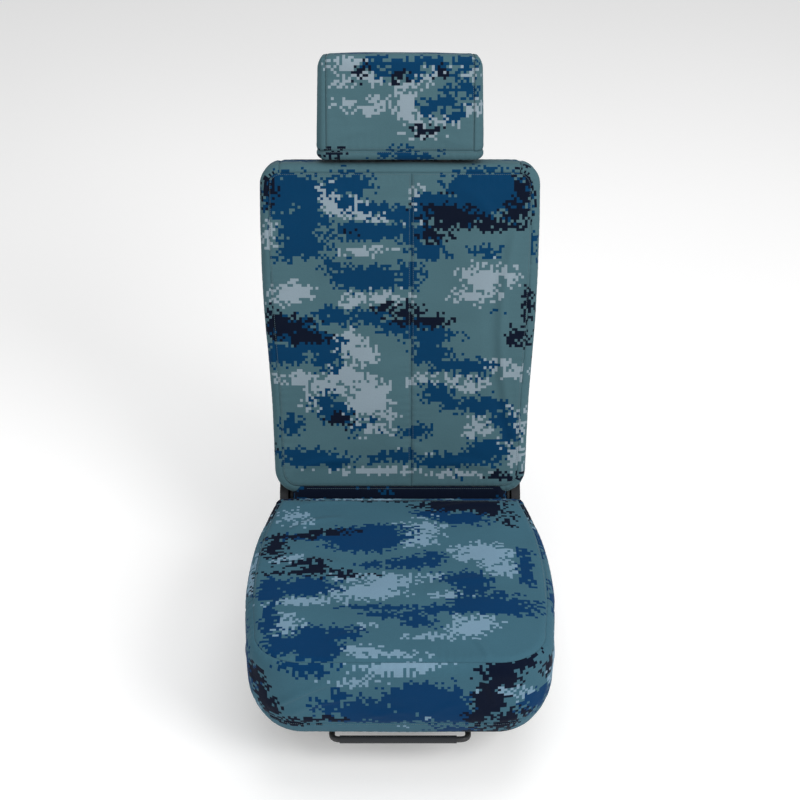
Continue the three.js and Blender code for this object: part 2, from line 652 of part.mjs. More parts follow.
/** U-shaped bar with hub rings round the front cross tube. */
function releaseBar() {
  const armEnd = FRONT_TUBE_Y - BAR_HUB_R + 3;
  const rise = new THREE.Vector3(0, armEnd - BAR_Y, TUBE_Z - BAR_Z).normalize();
  const bar = bentRod([[-BAR_HALF, armEnd, TUBE_Z], [-BAR_HALF, BAR_Y, BAR_Z],
    [BAR_HALF, BAR_Y, BAR_Z], [BAR_HALF, armEnd, TUBE_Z]], 14, BAR_R, [0, -rise.z, rise.y], 12);
  const hubs = [-BAR_HALF, BAR_HALF].map((x) => rod([x - 8, FRONT_TUBE_Y, TUBE_Z],
    [x + 8, FRONT_TUBE_Y, TUBE_Z], BAR_HUB_R, 24));
  const bore = rod([-FAR, FRONT_TUBE_Y, TUBE_Z], [FAR, FRONT_TUBE_Y, TUBE_Z], TUBE_R + 0.6, 24);
  return union([bar, ...hubs]).subtract(bore);
}

/** Moulded grip on the front run of the bar, cut at a slant at its left end. */
function releaseGrip() {
  const outer = rod([-GRIP_HALF + 6, BAR_Y, BAR_Z], [GRIP_HALF - 12, BAR_Y, BAR_Z], GRIP_R, 20);
  const bore = rod([-FAR, BAR_Y, BAR_Z], [FAR, BAR_Y, BAR_Z], BAR_R + GAP, 20);
  return outer.subtract(bore);
}

place(seat, 'slide_release_bar', releaseBar(), 'steel');
place(seat, 'slide_release_grip', releaseGrip(), 'trim');

/** Cranked recline lever with its spindle. */
function reclineLever() {
  const x0 = SHIELD_X + SHIELD_DEPTH + GAP;
  const clear = 4;
  const planAt = (y) => {
    const side = plan.filter(([x]) => x > 0).sort((p, q) => p[1] - q[1]).map(([x, py]) => [py, x]);
    return Math.max(x0, along(side, y) + clear);
  };
  const ys = [LEVER_Y + 14, LEVER_Y - 30, 0, -20, -44, -68, -92];
  const innerX = ys.map((y) => (y > -2 ? x0 : planAt(y)));
  const inner = ys.map((y, i) => [innerX[i], y]);
  const outer = ys.map((y, i) => [innerX[i] + LEVER_WALL, y]).reverse();
  const blade = prismZ([...inner, ...outer].reverse(),
    LEVER_Z - LEVER_HEIGHT / 2, LEVER_Z + LEVER_HEIGHT / 2);
  const hub = rod([x0, LEVER_Y, LEVER_Z], [x0 + LEVER_WALL, LEVER_Y, LEVER_Z], 14, 24);
  const spindle = rod([SIDE_X - 4, LEVER_Y, LEVER_Z], [x0 + 1, LEVER_Y, LEVER_Z], 6, 16);
  return union([blade, hub, spindle]);
}
place(seat, 'recline_lever', reclineLever(), 'trim');

// ---------------------------------------------------------------- backrest frame

/** Side frame plate with the pivot bearing at its lower end. */
function sideFrame() {
  const top = BACK_LENGTH - 34;
  const rear = (z) => backRear(z) - PAD_INSET - 4;
  const plate = prismX([[CAVITY_FRONT + 6, 0], [EAR_R - 4, 0], [rear(120) - 6, 120], [rear(top), top],
    [CAVITY_FRONT + 8, top]], FRAME_X, FRAME_X + FRAME_WALL);
  const end = rod([FRAME_X, 0, 0], [FRAME_X + FRAME_WALL, 0, 0], EAR_R - 4, 28);
  const bearing = rod([FRAME_X - 1, 0, 0], [FRAME_X + FRAME_WALL + 1, 0, 0], PIN_R + PIN_CLEARANCE);
  return plate.add(end).subtract(bearing);
}

/** Top cross tube with the two guide tubes for the headrest sleeves. */
function topTube() {
  const y = 4;
  const r = 11;
  const z = BACK_LENGTH - 46;
  const half = FRAME_X - GAP;
  const guides = [-POST_X, POST_X].map((x) => rod([x, POST_Y, z - 24], [x, POST_Y, z + 10], SLEEVE_R + 2.3));
  const bores = [-POST_X, POST_X].map((x) => rod([x, POST_Y, 0], [x, POST_Y, FAR], SLEEVE_R + GAP));
  return union([rod([-half, y, z], [half, y, z], r), ...guides]).subtract(union(bores));
}

const LUMBAR = { low: 130, belowTop: 152, half: 150, thick: 2.5, rim: 20, bar: 36, window: 76 };

/** Lumbar support plate with three rows of windows between its rim and its bars. */
function lumbarPlate() {
  const { low, belowTop, half, thick, rim, bar, window } = LUMBAR;
  const y = CAVITY_FRONT + 3;
  const top = BACK_LENGTH - belowTop;
  const pitch = (top - low - 2 * rim + bar) / 3;
  let plate = box([-half, y, low], [half, y + thick, top]);
  for (const row of [0, 1, 2]) {
    const z = low + rim + row * pitch;
    for (const x of [-136, -38, 60]) {
      plate = plate.subtract(box([x, y - 1, z], [x + window, y + thick + 1.5, z + pitch - bar]));
    }
  }
  return plate;
}

for (const [side, sign] of SIDES) {
  place(backrest, `backrest_side_frame_${side}`, mirrored(sideFrame(), sign), 'steel');
}
place(backrest, 'backrest_top_tube', topTube(), 'steel');
const lowerTube = FRAME_X - GAP;
place(backrest, 'backrest_lower_tube', rod([-lowerTube, 12, 66], [lowerTube, 12, 66], 10), 'steel');
place(backrest, 'lumbar_plate', lumbarPlate(), 'steel');

// ---------------------------------------------------------------- backrest pad and cover

const sleeveHoles = union([-POST_X, POST_X].map((x) => rod([x, POST_Y, BACK_LENGTH - 90],
  [x, POST_Y, BACK_LENGTH + 20], SLEEVE_R + 2 * GAP)));
const hollow = union([
  box([-FRAME_X - FRAME_WALL - 4, CAVITY_FRONT, -FAR], [FRAME_X + FRAME_WALL + 4, FAR, BACK_LENGTH - 32]),
  box([-FAR, CAVITY_FRONT, -FAR], [FAR, FAR, NOTCH]),
]);
place(backrest, 'backrest_foam', backrestBody(PAD_INSET).subtract(hollow).subtract(sleeveHoles), 'foam');

const pinHoles = rod([-FAR, 0, 0], [FAR, 0, 0], PIN_R + 4);
const backShell = backrestBody(0).subtract(backrestBody(COVER)).subtract(sleeveHoles).subtract(pinHoles);
const above = (z) => box([-FAR, -FAR, z], [FAR, FAR, FAR]);
const backUpper = backShell.intersect(above(FLAP_TOP + SEAM));
const faceZone = (d, y0, y1) => prismY(backrestOutline(BACK_SEAM_INSET - d), y0, y1);
const frontZone = (d) => faceZone(d, -FAR, -BACK_RADIUS + 16);
const rearZone = (d) => faceZone(d, 6, FAR);
const frontPanels = backUpper.intersect(frontZone(0));
const gusset = backUpper.subtract(frontZone(SEAM)).subtract(rearZone(SEAM));
const gussetTop = (half) => box([-half, -FAR, BACK_LENGTH - 90], [half, FAR, FAR]);
const gussetHalf = BACK_HALF_HIGH - BACK_SHOULDER - 6;

place(backrest, 'backrest_cover_front_left',
  frontPanels.intersect(box([-FAR, -FAR, -FAR], [BACK_CENTRE_SEAM_X - SEAM / 2, FAR, FAR])), 'camouflage');
place(backrest, 'backrest_cover_front_right',
  frontPanels.intersect(box([BACK_CENTRE_SEAM_X + SEAM / 2, -FAR, -FAR], [FAR, FAR, FAR])), 'camouflage');
for (const [side, sign] of SIDES) {
  place(backrest, `backrest_cover_side_${side}`,
    gusset.subtract(gussetTop(gussetHalf + SEAM)).intersect(halfSpace(sign)), 'camouflage');
}
place(backrest, 'backrest_cover_top', gusset.intersect(gussetTop(gussetHalf)), 'camouflage');
place(backrest, 'backrest_cover_back', backUpper.intersect(rearZone(0)), 'camouflage');
place(backrest, 'backrest_tuck_flap',
  backShell.intersect(box([-FAR, -FAR, -FAR], [FAR, FAR, FLAP_TOP])), 'camouflage');
const closure = backrestBody(-1.8).subtract(backrestBody(-GAP))
  .intersect(box([-165, 0, FLAP_TOP - 16], [165, FAR, FLAP_TOP + 14]));
place(backrest, 'tuck_flap_closure', closure, 'webbing');

// ---------------------------------------------------------------- headrest guides

function sleeve(withButton) {
  const flangeBase = BACK_LENGTH + GAP;
  const tube = rod([POST_X, POST_Y, BACK_LENGTH - SLEEVE_LENGTH], [POST_X, POST_Y, flangeBase + 1], SLEEVE_R);
  let body = tube.add(rod([POST_X, POST_Y, flangeBase], [POST_X, POST_Y, flangeBase + SLEEVE_FLANGE],
    SLEEVE_FLANGE_R));
  const bore = rod([POST_X, POST_Y, 0], [POST_X, POST_Y, FAR], POST_R + SLEEVE_CLEARANCE);
  if (withButton) {
    const [, wide, tall] = BUTTON;
    const x1 = POST_X + SLEEVE_FLANGE_R + 6;
    body = body.add(box([POST_X, POST_Y - 9, flangeBase], [x1, POST_Y + 9, flangeBase + SLEEVE_FLANGE]));
    body = body.subtract(box([x1 - 9.5, POST_Y - wide / 2 - GAP, flangeBase + 1 - GAP],
      [x1 + 1, POST_Y + wide / 2 + GAP, flangeBase + 1 + tall + GAP]));
  }
  return body.subtract(bore);
}

/** Height lock button, in the pocket of the right-hand sleeve. */
function lockButton() {
  const [long, wide, tall] = BUTTON;
  const x1 = POST_X + SLEEVE_FLANGE_R + 6 + BUTTON_PROUD;
  const z0 = BACK_LENGTH + GAP + 1;
  return box([x1 - long, POST_Y - wide / 2, z0], [x1, POST_Y + wide / 2, z0 + tall])
    .intersect(box([x1 - long + 2.5, -FAR, 0], [x1, FAR, FAR]));
}

place(backrest, 'headrest_sleeve_left', mirrored(sleeve(false), -1), 'trim');
place(backrest, 'headrest_sleeve_right', sleeve(true), 'trim');
place(backrest, 'headrest_lock_button', lockButton(), 'trim');

// ---------------------------------------------------------------- headrest pad and cover

place(backrest, 'headrest_post_rod', postRod(POST_R, 0), 'chrome');
place(backrest, 'headrest_foam', headrestBody(PAD_INSET).subtract(postRod(POST_R + GAP, 50)), 'foam');

const headShell = headrestBody(0).subtract(headrestBody(COVER));
const headSeamZ = HEAD_BASE + HEAD_HEM;
const postHoles = union([-POST_X, POST_X].map((x) => rod([x, POST_Y, HEAD_BASE - 20],
  [x, POST_Y, HEAD_BASE + 20], POST_R + 2)));
const underZone = (d) => prismZ(section(HEAD_HALF_LOW - HEAD_TUCK + d, HEAD_FRONT + HEAD_TUCK - d,
  HEAD_REAR - HEAD_TUCK + d, HEAD_CORNER), HEAD_BASE - 10, HEAD_BASE + 10);
const headUpper = headShell.intersect(above(headSeamZ + SEAM));

place(backrest, 'headrest_cover_main',
  headUpper.intersect(box([-HEAD_SEAM_X, -FAR, 0], [HEAD_SEAM_X, FAR, FAR])), 'camouflage');
for (const [side, sign] of SIDES) {
  const cut = box([-HEAD_SEAM_X - SEAM, -FAR, 0], [HEAD_SEAM_X + SEAM, FAR, FAR]);
  place(backrest, `headrest_cover_side_${side}`,
    headUpper.subtract(cut).intersect(halfSpace(sign)), 'camouflage');
}
place(backrest, 'headrest_cover_hem', headShell.subtract(underZone(SEAM))
  .intersect(box([-FAR, -FAR, 0], [FAR, FAR, headSeamZ])), 'camouflage');
place(backrest, 'headrest_cover_underflap',
  headShell.intersect(underZone(0)).subtract(postHoles), 'camouflage');

// ---------------------------------------------------------------- origin

root.updateMatrixWorld(true);
const bounds = new THREE.Box3().setFromObject(root, true);
const centre = bounds.getCenter(new THREE.Vector3());
root.position.set(-centre.x, -centre.y, -bounds.min.z);

export default root;
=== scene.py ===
"""Camouflage seat cover set on its seat: the finished cloth, foam, steel and plastic around the
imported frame."""

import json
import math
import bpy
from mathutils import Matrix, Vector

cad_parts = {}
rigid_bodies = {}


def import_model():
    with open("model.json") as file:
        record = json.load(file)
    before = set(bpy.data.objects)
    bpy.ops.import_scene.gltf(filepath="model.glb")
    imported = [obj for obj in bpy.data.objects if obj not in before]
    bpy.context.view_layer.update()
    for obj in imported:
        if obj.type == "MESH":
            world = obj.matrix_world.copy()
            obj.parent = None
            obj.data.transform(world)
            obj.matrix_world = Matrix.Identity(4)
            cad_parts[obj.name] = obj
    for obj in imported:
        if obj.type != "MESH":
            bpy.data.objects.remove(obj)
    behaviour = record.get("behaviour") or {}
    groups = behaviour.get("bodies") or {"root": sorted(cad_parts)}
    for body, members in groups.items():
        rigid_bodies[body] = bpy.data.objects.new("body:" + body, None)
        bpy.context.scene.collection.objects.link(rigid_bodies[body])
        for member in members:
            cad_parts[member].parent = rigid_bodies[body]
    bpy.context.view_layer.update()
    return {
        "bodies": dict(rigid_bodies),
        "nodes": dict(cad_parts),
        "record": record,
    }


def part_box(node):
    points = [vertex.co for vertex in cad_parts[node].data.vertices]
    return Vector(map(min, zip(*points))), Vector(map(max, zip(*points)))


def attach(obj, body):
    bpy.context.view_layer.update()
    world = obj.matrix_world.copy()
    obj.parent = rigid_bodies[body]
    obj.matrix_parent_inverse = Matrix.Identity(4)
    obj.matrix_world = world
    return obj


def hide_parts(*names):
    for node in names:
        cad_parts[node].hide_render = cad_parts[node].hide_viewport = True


bl_info = {
    "name": "Seat Cover Set",
    "version": (1, 0, 0),
    "blender": (4, 5, 0),
    "location": "View3D > Sidebar > Seat Covers",
    "description": "Makes the sewn covers, pads, straps and hardware of a covered vehicle seat",
    "category": "Add Mesh",
}

import bmesh
import bpy
import numpy as np
from bpy.props import FloatProperty, FloatVectorProperty, IntProperty, PointerProperty
from mathutils import Vector

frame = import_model()

# ---------------------------------------------------------------- places taken from the frame, millimetres

JOINTS = {joint["name"]: joint for joint in frame["record"]["behaviour"]["joints"]}
PIVOT = np.array(JOINTS["backrest_recline"]["pos_m"]) * 1000.0
UP = np.array(JOINTS["headrest_height"]["axis"]) / np.linalg.norm(JOINTS["headrest_height"]["axis"])
REARWARD = np.array([0.0, UP[2], -UP[1]])
RIGHT = np.array([1.0, 0.0, 0.0])


def box_of(node):
    """Lowest and highest corner of a frame node at rest, in millimetres."""
    low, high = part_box(node)
    return np.array(low) * 1000.0, np.array(high) * 1000.0


def leaning_box_of(node):
    """Lowest and highest corner of a frame node along the backrest's own axes, from the recline pivot."""
    mesh = frame["nodes"][node].data
    points = np.empty(len(mesh.vertices) * 3)
    mesh.vertices.foreach_get("co", points)
    local = (points.reshape(-1, 3) * 1000.0 - PIVOT) @ np.stack([RIGHT, REARWARD, UP], axis=1)
    return local.min(axis=0), local.max(axis=0)


CUSHION_FRONT = box_of("cushion_cover_front")[0][1]
CUSHION_WALL = box_of("cushion_cover_rear")[1][1]
CUSHION_HALF_REAR = 226.0
CUSHION_HALF_MIDDLE = box_of("cushion_cover_side_right")[1][0]
CUSHION_HALF_FRONT = CUSHION_HALF_MIDDLE - 10.0
CUSHION_HEM = box_of("cushion_cover_hem")[0][2]
CUSHION_HEM_SEAM = box_of("cushion_cover_hem")[1][2]
CUSHION_TILT = math.radians(5.4)
CUSHION_FRONT_CORNER = 92.0
CUSHION_REAR_CORNER = 14.0
CUSHION_EDGE = 26.0
CUSHION_REAR_EDGE = 12.0
CUSHION_TOP_FRONT = box_of("cushion_cover_top")[1][2] + CUSHION_EDGE * math.tan(CUSHION_TILT)
CUSHION_SEAM_INSET = 12.0
CUSHION_PULL = 21.0              # further pull of the elastic at the front
CUSHION_PULL_HEIGHT = 70.0       # height over which it draws the side in
CUSHION_HEM_ROUND = 8.0
CUSHION_TURN_IN = 22.0
CUSHION_ELASTIC = 5.0            # pull of the hem's elastic all round
CUSHION_PULL_END = 252.0         # how far behind the front edge the front's pull has faded out
SKIRT_SEAM_BACK = 178.0

BACK_LENGTH = leaning_box_of("backrest_foam")[1][2] + 4.0
BACK_FRONT = leaning_box_of("backrest_cover_front_left")[0][1]
BACK_HALF_HIGH = leaning_box_of("backrest_cover_side_right")[1][0]
BACK_TONGUE = 195.0
BACK_REAR_LOW = 62.0
BACK_REAR_TOP = 26.0
BACK_SHOULDER = 36.0
BACK_EDGE = 18.0
BACK_SEAM_INSET = 14.0
BACK_LOWER_SEAM = 35.0
BACK_LOWER_CORNER = 42.0
BACK_REAR_RISE = 16.0
BACK_CENTRE_SEAM = 20.0

HEAD_BASE = leaning_box_of("headrest_cover_hem")[0][2]
HEAD_HEIGHT = leaning_box_of("headrest_cover_main")[1][2] - HEAD_BASE
HEAD_FRONT = leaning_box_of("headrest_cover_main")[0][1]
HEAD_REAR = leaning_box_of("headrest_cover_main")[1][1]
HEAD_HALF_LOW = leaning_box_of("headrest_cover_hem")[1][0]
HEAD_HALF_HIGH = HEAD_HALF_LOW - 4.0
HEAD_SEAM = leaning_box_of("headrest_cover_main")[1][0]
HEAD_HEM = leaning_box_of("headrest_cover_hem")[1][2] - HEAD_BASE
HEAD_EDGE = 13.0
HEAD_CORNER = 22.0
HEAD_TURN_IN = 20.0
POST_X = 75.0
POST_Y = -16.0

FINE = 2.5            # mesh pitch of the cloth in front
COARSE = 5.0          # mesh pitch of the cloth behind and below
CELL = 5.0            # one square of the printed camouflage
SEED = 20             # start of the random draws
OUTLINE_PITCH = 6.0   # length of an outline's segments
STITCH_INSET = 3.4    # top stitching, in from a seam
WEBBING = 0.0015      # thickness of the straps, metres
CREASE = math.radians(38)        # hard edges of a hardware piece are sharper than this


# ---------------------------------------------------------------- number helpers


def smooth_table(at, table):
    """Cubic curve through a table of (place, value) points, with slopes taken between the neighbours."""
    places, values = np.array(table, dtype=float).T
    slopes = np.gradient(values, places)
    at = np.clip(at, places[0], places[-1])
    k = np.clip(np.searchsorted(places, at) - 1, 0, len(places) - 2)
    width = places[k + 1] - places[k]
    t = (at - places[k]) / width
    return (
        values[k] * (2 * t**3 - 3 * t**2 + 1)
        + slopes[k] * width * (t**3 - 2 * t**2 + t)
        + values[k + 1] * (3 * t**2 - 2 * t**3)
        + slopes[k + 1] * width * (t**3 - t**2)
    )


def smoothstep(low, high, value):
    """0 below low, 1 above high, and a smooth cubic between them."""
    t = np.clip((value - low) / (high - low), 0.0, 1.0)
    return t * t * (3.0 - 2.0 * t)


def scattered(ix, iy, seed):
    """Even random value from -1 to 1 for each lattice corner: the broken part of a large sine of
    its numbers."""
    wave = np.sin(ix * 127.1 + iy * 311.7 + seed * 74.7) * 43758.5453
    return 2.0 * (wave - np.floor(wave)) - 1.0


def lattice_noise(x, y, wide, tall, seed):
    """Smooth noise from -1 to 1: scattered values on a lattice, wide by tall mm, blended with a
    smooth cubic."""
    gx, gy = x / wide, y / tall
    ix, iy = np.floor(gx), np.floor(gy)
    fx, fy = gx - ix, gy - iy
    fx, fy = fx * fx * (3 - 2 * fx), fy * fy * (3 - 2 * fy)
    low = scattered(ix, iy, seed) * (1 - fx) + scattered(ix + 1, iy, seed) * fx
    high = scattered(ix, iy + 1, seed) * (1 - fx) + scattered(ix + 1, iy + 1, seed) * fx
    return low * (1 - fy) + high * fy


def arc(centre_x, centre_y, radius, start, end, count=16):
    """Points of a circular arc between two angles in degrees."""
    turn = np.radians(np.linspace(start, end, count))
    return np.stack([centre_x + radius * np.cos(turn), centre_y + radius * np.sin(turn)], axis=1)


def count_for(length, pitch):
    """Number of grid points for a length at a mesh pitch, odd so that the cells come in pairs."""
    return 2 * max(2, int(round(length / pitch / 2))) + 1


# ---------------------------------------------------------------- printed camouflage
# A patch is (across, up, half width, half height) in millimetres on its panel.

PRINTS = {
    "headrest_main": {
        "navy": [(-42, 168, 24, 11), (8, 164, 34, 11), (60, 172, 32, 8), (112, 168, 22, 9),
                 (-22, 153, 18, 9), (28, 150, 20, 7), (108, 140, 15, 22), (97, 121, 24, 12),
                 (74, 101, 30, 13), (55, 90, 16, 12), (120, 120, 18, 12), (92, 80, 14, 9), (10, 4, 38, 15),
                 (2, 18, 10, 8), (46, 4, 14, 9), (-30, 2, 14, 8), (-70, 220, 40, 20), (60, 235, 50, 22)],
        "light": [(-92, 166, 36, 12), (-50, 146, 34, 15), (10, 92, 22, 30), (2, 118, 14, 16),
                  (28, 70, 22, 13), (-42, 101, 28, 12), (-92, 97, 22, 8), (-62, 88, 24, 8),
                  (70, 151, 22, 13), (76, 68, 34, 9), (124, 92, 20, 11), (40, 140, 16, 12),
                  (122, 154, 14, 16), (-98, 137, 14, 10), (36, 44, 26, 7)],
        "black": [(-70, 153, 7, 9), (70, 152, 5, 4), (4, 143, 8, 5), (52, 52, 12, 4), (-120, 12, 14, 7)],
    },
    "backrest_front": {
        "navy": [(-205, 572, 40, 38), (-165, 565, 24, 40), (-175, 520, 52, 30), (-168, 478, 50, 24),
                 (-195, 468, 26, 16), (-88, 588, 42, 24), (-95, 560, 20, 20), (-60, 505, 78, 17),
                 (0, 532, 46, 14), (-42, 545, 44, 10), (72, 552, 46, 24), (150, 580, 74, 36),
                 (120, 545, 60, 24), (30, 500, 36, 20), (195, 560, 30, 30), (-60, 422, 68, 22),
                 (12, 424, 26, 20), (-118, 446, 24, 12), (-110, 348, 40, 16), (-55, 348, 38, 17),
                 (0, 334, 42, 17), (50, 315, 48, 18), (60, 282, 34, 22), (92, 262, 44, 13),
                 (125, 258, 36, 14), (-190, 326, 52, 24), (-150, 304, 50, 22), (-204, 284, 40, 22),
                 (-130, 276, 26, 22), (-122, 178, 32, 19), (-130, 195, 18, 14), (-196, 150, 22, 15),
                 (-170, 92, 54, 17), (-115, 84, 44, 13), (75, 208, 28, 19), (108, 190, 34, 13),
                 (150, 188, 36, 15), (186, 160, 24, 16), (196, 138, 16, 20), (152, 100, 40, 24),
                 (75, 84, 64, 15), (0, 92, 44, 11), (32, 140, 26, 12), (150, 468, 22, 12),
                 (50, 470, 30, 14)],
        "light": [(-118, 566, 40, 28), (-95, 548, 34, 16), (-40, 530, 52, 10), (-230, 500, 14, 24),
                  (38, 548, 16, 28), (-190, 396, 42, 17), (-205, 385, 24, 12), (150, 420, 34, 28),
                  (132, 390, 36, 14), (192, 425, 20, 14), (-90, 302, 26, 26), (-72, 278, 25, 28),
                  (-100, 244, 36, 20), (-130, 222, 34, 18), (-55, 206, 38, 34), (-78, 190, 30, 24),
                  (-38, 172, 34, 14), (-42, 145, 26, 12), (-150, 192, 24, 11), (-180, 238, 42, 12),
                  (130, 226, 34, 14), (92, 238, 32, 9), (168, 262, 32, 11), (200, 246, 26, 11),
                  (145, 150, 22, 22), (205, 176, 22, 10), (214, 148, 14, 30), (210, 95, 18, 26),
                  (184, 112, 15, 10), (-40, 66, 84, 7), (105, 60, 64, 7), (-75, 386, 20, 15),
                  (-22, 386, 40, 11), (-60, 470, 46, 8), (40, 232, 26, 8)],
        "black": [(92, 530, 48, 20), (60, 545, 26, 10), (170, 516, 44, 11), (214, 576, 16, 36),
                  (206, 540, 20, 14), (-232, 574, 12, 16), (-202, 332, 36, 17), (-158, 312, 30, 10),
                  (-226, 346, 12, 12), (-18, 368, 30, 8), (12, 354, 28, 10), (36, 343, 30, 9),
                  (64, 342, 20, 8), (-104, 164, 16, 11), (212, 314, 17, 12), (228, 372, 9, 24),
                  (200, 56, 26, 8), (60, 500, 22, 10)],
    },
    "cushion_top": {
        "navy": [(-60, 150, 75, 42), (-25, 120, 50, 20), (-170, 143, 60, 10), (110, 80, 48, 24),
                 (70, 62, 40, 14), (-214, 388, 14, 44), (-40, 232, 26, 8), (-8, 376, 46, 8),
                 (160, 318, 26, 9), (20, 225, 40, 20), (55, 205, 24, 14), (120, 285, 35, 38),
                 (95, 265, 26, 14), (150, 350, 82, 24), (60, 362, 40, 12), (-160, 295, 55, 25),
                 (-215, 300, 26, 34), (-20, 355, 60, 8), (30, 395, 30, 12), (-140, 450, 50, 42),
                 (-190, 455, 40, 26), (-100, 425, 34, 18), (214, 230, 14, 60)],
        "light": [(-190, 75, 25, 22), (-175, 92, 20, 12), (30, 150, 36, 24), (45, 128, 24, 12),
                  (70, 75, 28, 12), (38, 104, 34, 12), (-190, 210, 26, 8), (40, 268, 44, 10),
                  (60, 430, 44, 9), (-60, 402, 30, 8), (140, 190, 50, 28), (165, 215, 30, 20),
                  (170, 240, 30, 22), (-60, 310, 62, 22), (-30, 290, 44, 16), (-20, 278, 36, 20),
                  (-160, 335, 62, 11), (115, 405, 36, 26), (135, 392, 22, 14), (-190, 405, 26, 26),
                  (-60, 468, 44, 12), (0, 476, 34, 10), (-80, 270, 24, 10), (90, 320, 30, 8)],
        "black": [(110, 30, 76, 26), (160, 50, 30, 20), (-215, 175, 20, 22), (-190, 140, 40, 8),
                  (-120, 128, 34, 7), (-140, 235, 22, 18), (-170, 225, 24, 8), (-150, 250, 62, 8),
                  (-90, 262, 30, 6), (40, 14, 180, 8), (190, 88, 12, 14)],
    },
    "cushion_skirt": {
        "navy": [(40, 100, 76, 38), (75, 70, 50, 26), (-50, 75, 52, 26), (-10, 62, 50, 16),
                 (-150, 165, 46, 14), (228, 78, 34, 24), (-115, 90, 28, 15), (-90, 112, 20, 10),
                 (90, 25, 38, 15), (-300, 110, 60, 36), (-350, 60, 50, 30), (410, 110, 60, 40),
                 (450, 60, 40, 30), (300, 40, 24, 14)],
        "light": [(170, 120, 32, 15), (196, 108, 20, 10), (80, 62, 20, 7), (-20, 165, 62, 13),
                  (30, 172, 40, 9), (300, 110, 50, 30), (340, 70, 36, 22), (520, 90, 60, 34),
                  (-40, 8, 44, 6), (40, 6, 40, 5), (-420, 100, 36, 26), (-260, 40, 26, 14),
                  (-70, 140, 30, 9)],
        "black": [(140, 95, 25, 45), (128, 60, 18, 22), (180, 165, 52, 13), (160, 148, 32, 20),
                  (182, 60, 25, 14), (165, 40, 26, 12), (-240, 118, 20, 22), (-212, 76, 20, 25),
                  (-228, 96, 18, 20), (-142, 58, 32, 6), (-170, 44, 20, 7), (160, 10, 44, 8),
                  (250, 130, 18, 10)],
    },
    # The tuck flap's layout is mostly navy with black bands at its front end, so that the strip of it seen in
    # the gap under the backrest reads dark: painted shade of that gap. Its two light patches are print.
    "tuck_flap": {
        "navy": [(0, 250, 300, 60), (-60, 60, 90, 40), (110, 100, 70, 40)],
        "light": [(-150, 110, 60, 18), (60, 40, 50, 14)],
        "black": [(-110, 268, 110, 16), (90, 270, 130, 16), (0, 258, 60, 12)],
    },
}
# An ink is (name, share of a panel with no layout, strength of its single squares, least depth that prints).
INKS = (("light", 0.20, 12.5, 2.6), ("navy", 0.34, 10.5, 0.2), ("black", 0.18, 11.0, -1.2))
# Sides of the part of a panel that its layout covers: (left, right), (lower, upper).
PRINT_EDGES = {
    "backrest_front": ((-230.0, 230.0), (36.0, 608.0)),
    "headrest_main": ((-131.0, 131.0), (0.0, 190.0)),
    "cushion_skirt": ((-360.0, 480.0), (-30.0, 200.0)),
}


def patch_field(patches, x, y):
    """Millimetres inside the nearest patch edge, about: (1 - distance in half sizes) times the
    patch's mean size."""
    field = np.full(x.shape, -60.0)
    for cx, cy, rx, ry in patches:
        field = np.maximum(field, (1.0 - np.hypot((x - cx) / rx, (y - cy) / ry)) * math.sqrt(rx * ry) * 0.8)
    return field


def wild_field(x, y, seed, cover):
    """Patches for a panel with no layout of its own: two sizes of noise, shifted so that cover of
    it is inside."""
    field = lattice_noise(x, y, 95.0, 52.0, seed) + 0.55 * lattice_noise(x, y, 42.0, 24.0, seed + 1)
    return (field - np.quantile(field, 1.0 - cover)) * 26.0


def printed_inks(x, y, layout, seed, drawn_at=None):
    """Ink of each printed square: 0 ground, 1 light, 2 navy, 3 black, from patch depth plus ragged
    noise and specks. drawn_at moves the squares' places on to another panel's layout, so that its
    patches run on over the seam."""
    cx = (np.floor(x / CELL) + 0.5) * CELL
    cy = (np.floor(y / CELL) + 0.5) * CELL

    def ragged(which, holes):
        """Unevenness of an ink's edge: two sizes of noise and single squares."""
        shift = seed + 20 * which
        drift = 4.0 * lattice_noise(cx, cy, 36.0, 15.0, shift)
        drift += 5.0 * lattice_noise(cx, cy, 14.0, 9.0, shift + 1)
        return drift + holes * scattered(np.floor(x / CELL), np.floor(y / CELL), shift + 2)

    px, py = (cx, cy) if drawn_at is None else drawn_at(np.stack([cx, cy], axis=1)).T
    wild = [wild_field(cx, cy, seed + 4 + 2 * k, cover) for k, (_, cover, _, _) in enumerate(INKS)]
    if layout:
        fields = [patch_field(PRINTS[layout][ink], px, py) for ink, _, _, _ in INKS]
        if layout in PRINT_EDGES:
            sides, ends = PRINT_EDGES[layout]
            away = np.hypot(px - np.clip(px, *sides), py - np.clip(py, *ends))
            wild = [field - 30.0 * (1.0 - smoothstep(18.0, 60.0, away)) for field in wild]
            fields = [np.maximum(*pair) for pair in zip(fields, wild)]
    else:
        fields = [*wild[:2], np.minimum(wild[2], wild[1] + 9.0)]
    inks = np.zeros(x.shape)
    for k, (_, _, holes, least) in enumerate(INKS):
        inks[fields[k] + ragged(k, holes) > least] = k + 1.0
    return inks


# ---------------------------------------------------------------- outlines


def closed(path):
    """Length along a closed outline at each of its points, and its whole length."""
    steps = np.linalg.norm(np.roll(path, -1, axis=0) - path, axis=1)
    return np.r_[0.0, np.cumsum(steps)[:-1]], float(steps.sum())


def evened(path, pitch):
    """Closed outline resampled to points about a pitch apart, starting at its first point."""
    along, whole = closed(path)
    at = np.linspace(0.0, whole, max(8, int(round(whole / pitch))), endpoint=False)
    along = np.r_[along, whole]
    return np.stack([np.interp(at, along, np.r_[path[:, k], path[0, k]]) for k in (0, 1)], axis=1)


def inward_of(path):
    """Unit normals of a closed anticlockwise outline, pointing into it."""
    run = np.roll(path, -1, axis=0) - np.roll(path, 1, axis=0)
    run /= np.linalg.norm(run, axis=1, keepdims=True)
    return np.stack([-run[:, 1], run[:, 0]], axis=1)


